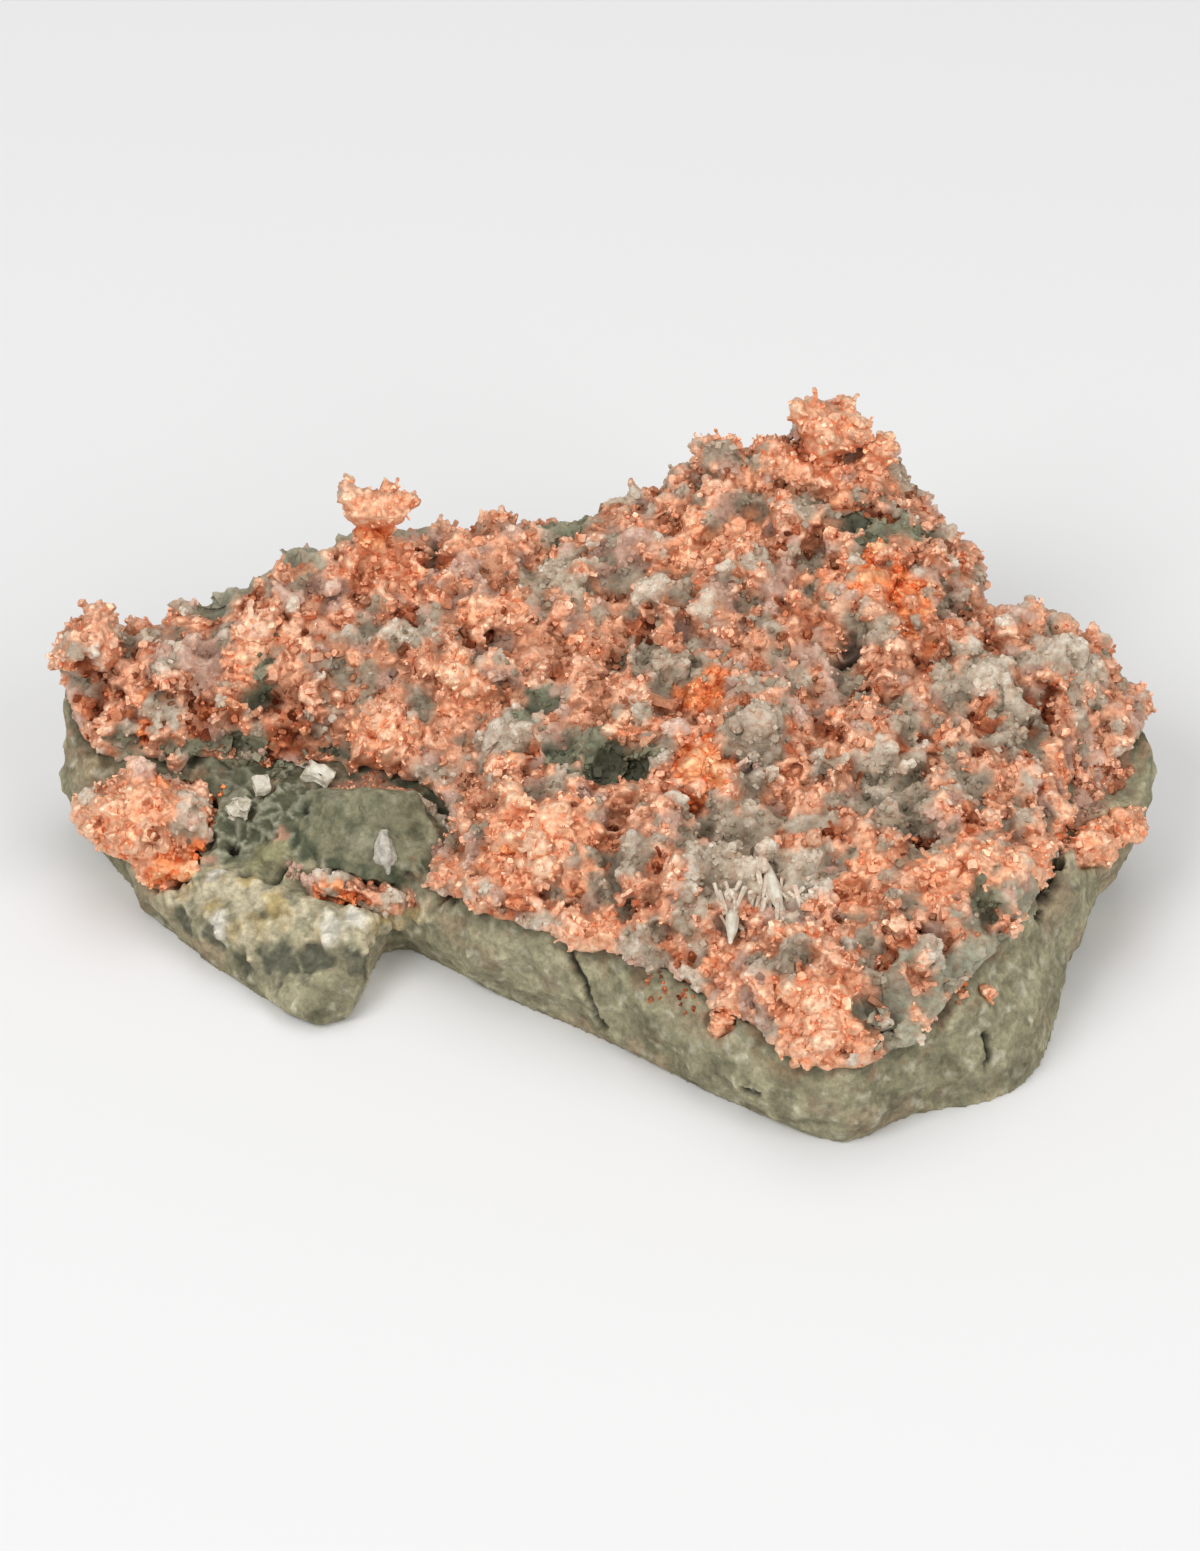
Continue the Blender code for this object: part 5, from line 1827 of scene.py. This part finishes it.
    def build(self) -> bpy.types.Object:
        """Build and dress the slab.

        Returns:
            The slab.
        """
        self.skin = Skin(solid_copy(["matrix_rock"], "matrix_rock_surface"))
        self.skin.remesh(self.pitch)
        self.skin.thin()
        points = self.skin.points()
        shares = {zone: self.zone_share(zone, points) for zone in ZONES}
        grounded = ramp(points[:, 2], 0.15, 1.6)
        self.skin.push(self.relief(points, shares) * grounded)
        moved = self.skin.points()
        moved[:, 2] = np.maximum(moved[:, 2], 0.0)
        self.skin.write(moved)
        colours = self.colours(points, self.skin.relief(6), shares)
        self.skin.paint(colours, np.zeros(len(points)))
        self.skin.lay_out(walls=True)
        self.skin.shade_smooth()
        return settle(self.skin.obj, RockFinish("altered_rock").material(),
                      ("matrix_rock",))


@dataclass
class CalciteCrystals:
    """The separate crystals of calcite: blocks on the terrace and long ones on the crust."""

    blocks: tuple[str, ...] = ("calcite_block_left", "calcite_block_middle",
                               "calcite_block_right")
    blades: tuple[str, ...] = ("calcite_blade_left", "calcite_blade_right", "lens_crystal")
    edge: float = 0.16
    insets: tuple[float, ...] = (0.72, 0.30, 0.34, 0.0, 0.0, 0.10)
    chip_depth: float = 0.34

    def build(self) -> None:
        """Build and dress each crystal."""
        white = CalciteFinish("white_calcite").material()
        grey = CalciteFinish("grey_calcite", (0.36, 0.34, 0.29), (0.62, 0.57, 0.48)).material()
        for node, inset in zip(self.blocks + self.blades, self.insets):
            crystal = solid_copy([node], f"{node}_crystal")
            skin = Skin(crystal)
            skin.modify("BEVEL", width=self.edge * MM, segments=2, limit_method="ANGLE",
                        angle_limit=math.radians(25))
            skin.modify("SUBSURF", subdivision_type="SIMPLE", levels=2, render_levels=2)
            points = skin.points()
            chips = self.chip_depth * (soft(points, 1.5, 2.0) + 0.5 * soft(points, 0.6, 6.0))
            skin.push(chips - inset if inset else 0.25 * chips)
            activate(crystal)
            bpy.ops.object.shade_flat()
            settle(crystal, grey if node == "lens_crystal" else white, (node,))


@dataclass
class Studio:
    """A pale floor, soft lights and the camera."""

    target: tuple[float, float, float] = (-0.2, 0.9, 15.1)
    distance: float = 600.0
    elevation: float = 40.0
    lens: float = 138.76
    floor_size: float = 6000.0
    world_light: float = 0.45

    def build(self) -> None:
        """Build the floor, the world, the lights and the camera."""
        self.floor()
        self.world()
        self.lamp("key", (-420.0, -380.0, 620.0), 420.0, 2.9)
        self.lamp("fill", (520.0, -420.0, 480.0), 500.0, 2.0)
        self.lamp("top", (60.0, 260.0, 760.0), 520.0, 1.3)
        self.camera()

    def floor(self) -> None:
        """Lay a plain floor."""
        deselect()
        bpy.ops.mesh.primitive_plane_add(size=self.floor_size * MM)
        floor = bpy.context.object
        floor.name = "studio_floor"
        floor.data.materials.append(FloorFinish("studio_floor").material())

    def world(self) -> None:
        """Surround the specimen with even white light."""
        world = bpy.data.worlds.new("studio")
        world.use_nodes = True
        background = world.node_tree.nodes["Background"]
        background.inputs["Color"].default_value = (1.0, 1.0, 1.0, 1.0)
        background.inputs["Strength"].default_value = self.world_light
        bpy.context.scene.world = world
        bpy.context.scene.view_settings.view_transform = "Standard"

    def lamp(self, name: str, place: tuple[float, float, float], size: float,
             power: float) -> None:
        """Hang a square soft light that looks at the specimen.

        Args:
            name: Name of the light.
            place: Its middle in millimetres.
            size: Its side in millimetres.
            power: Its power in watts.
        """
        data = bpy.data.lights.new(name, "AREA")
        data.size = size * MM
        data.energy = power
        light = bpy.data.objects.new(name, data)
        bpy.context.scene.collection.objects.link(light)
        away = np.array(place) - np.array(self.target)
        yaw = math.atan2(away[1], away[0]) + math.pi / 2
        pitch = math.acos(away[2] / float(np.linalg.norm(away)))
        light.rotation_euler = (pitch, 0.0, yaw)
        light.location = [value * MM for value in place]

    def camera(self) -> None:
        """Set up the camera."""
        data = bpy.data.cameras.new("camera")
        data.lens = self.lens
        data.sensor_width = 36.0
        camera = bpy.data.objects.new("camera", data)
        bpy.context.scene.collection.objects.link(camera)
        rise = math.radians(self.elevation)
        back = (0.0, -math.cos(rise), math.sin(rise))
        camera.location = [(self.target[k] + back[k] * self.distance) * MM for k in range(3)]
        camera.rotation_euler = (math.pi / 2 - rise, 0.0, 0.0)
        bpy.context.scene.camera = camera


def main() -> None:
    """Build the specimen and its studio."""
    logging.basicConfig(level=logging.INFO, format="%(message)s")
    deselect()
    chart = CrustMap()
    finish = CrustFinish("copper_and_minerals").material()
    crust = Encrustation("copper_crust", "copper_crust_surface", chart, 620, 1900)
    lumps = [
        Encrustation("copper_nodule", "copper_nodule_surface", chart, 30, 150, 0.85,
                     paleness=0.10, seed=51),
        Encrustation("copper_vein", "copper_vein_surface", chart, 8, 50, 0.6, pitch=0.26, seed=52),
        Encrustation("copper_bead", "copper_bead_surface", chart, 2, 12, 0.6, pitch=0.22, seed=53),
        Encrustation("copper_spur", "copper_spur_surface", chart, 12, 110, 0.55, pitch=0.26,
                     seed=54),
        Encrustation("copper_speck", "copper_speck_surface", chart, 1, 8, 0.5, pitch=0.2, seed=55),
    ]
    for part in [crust, *lumps]:
        part.shape()
        part.dress(finish)
    slab = RockSlab(crust.skin.points()[::5])
    slab.build()
    StrayGrains(slab.skin).build(finish)
    CrustCrystals([crust, *lumps]).build(finish)
    CalciteCrystals().build()
    Studio().build()


if __name__ == "__main__":
    main()
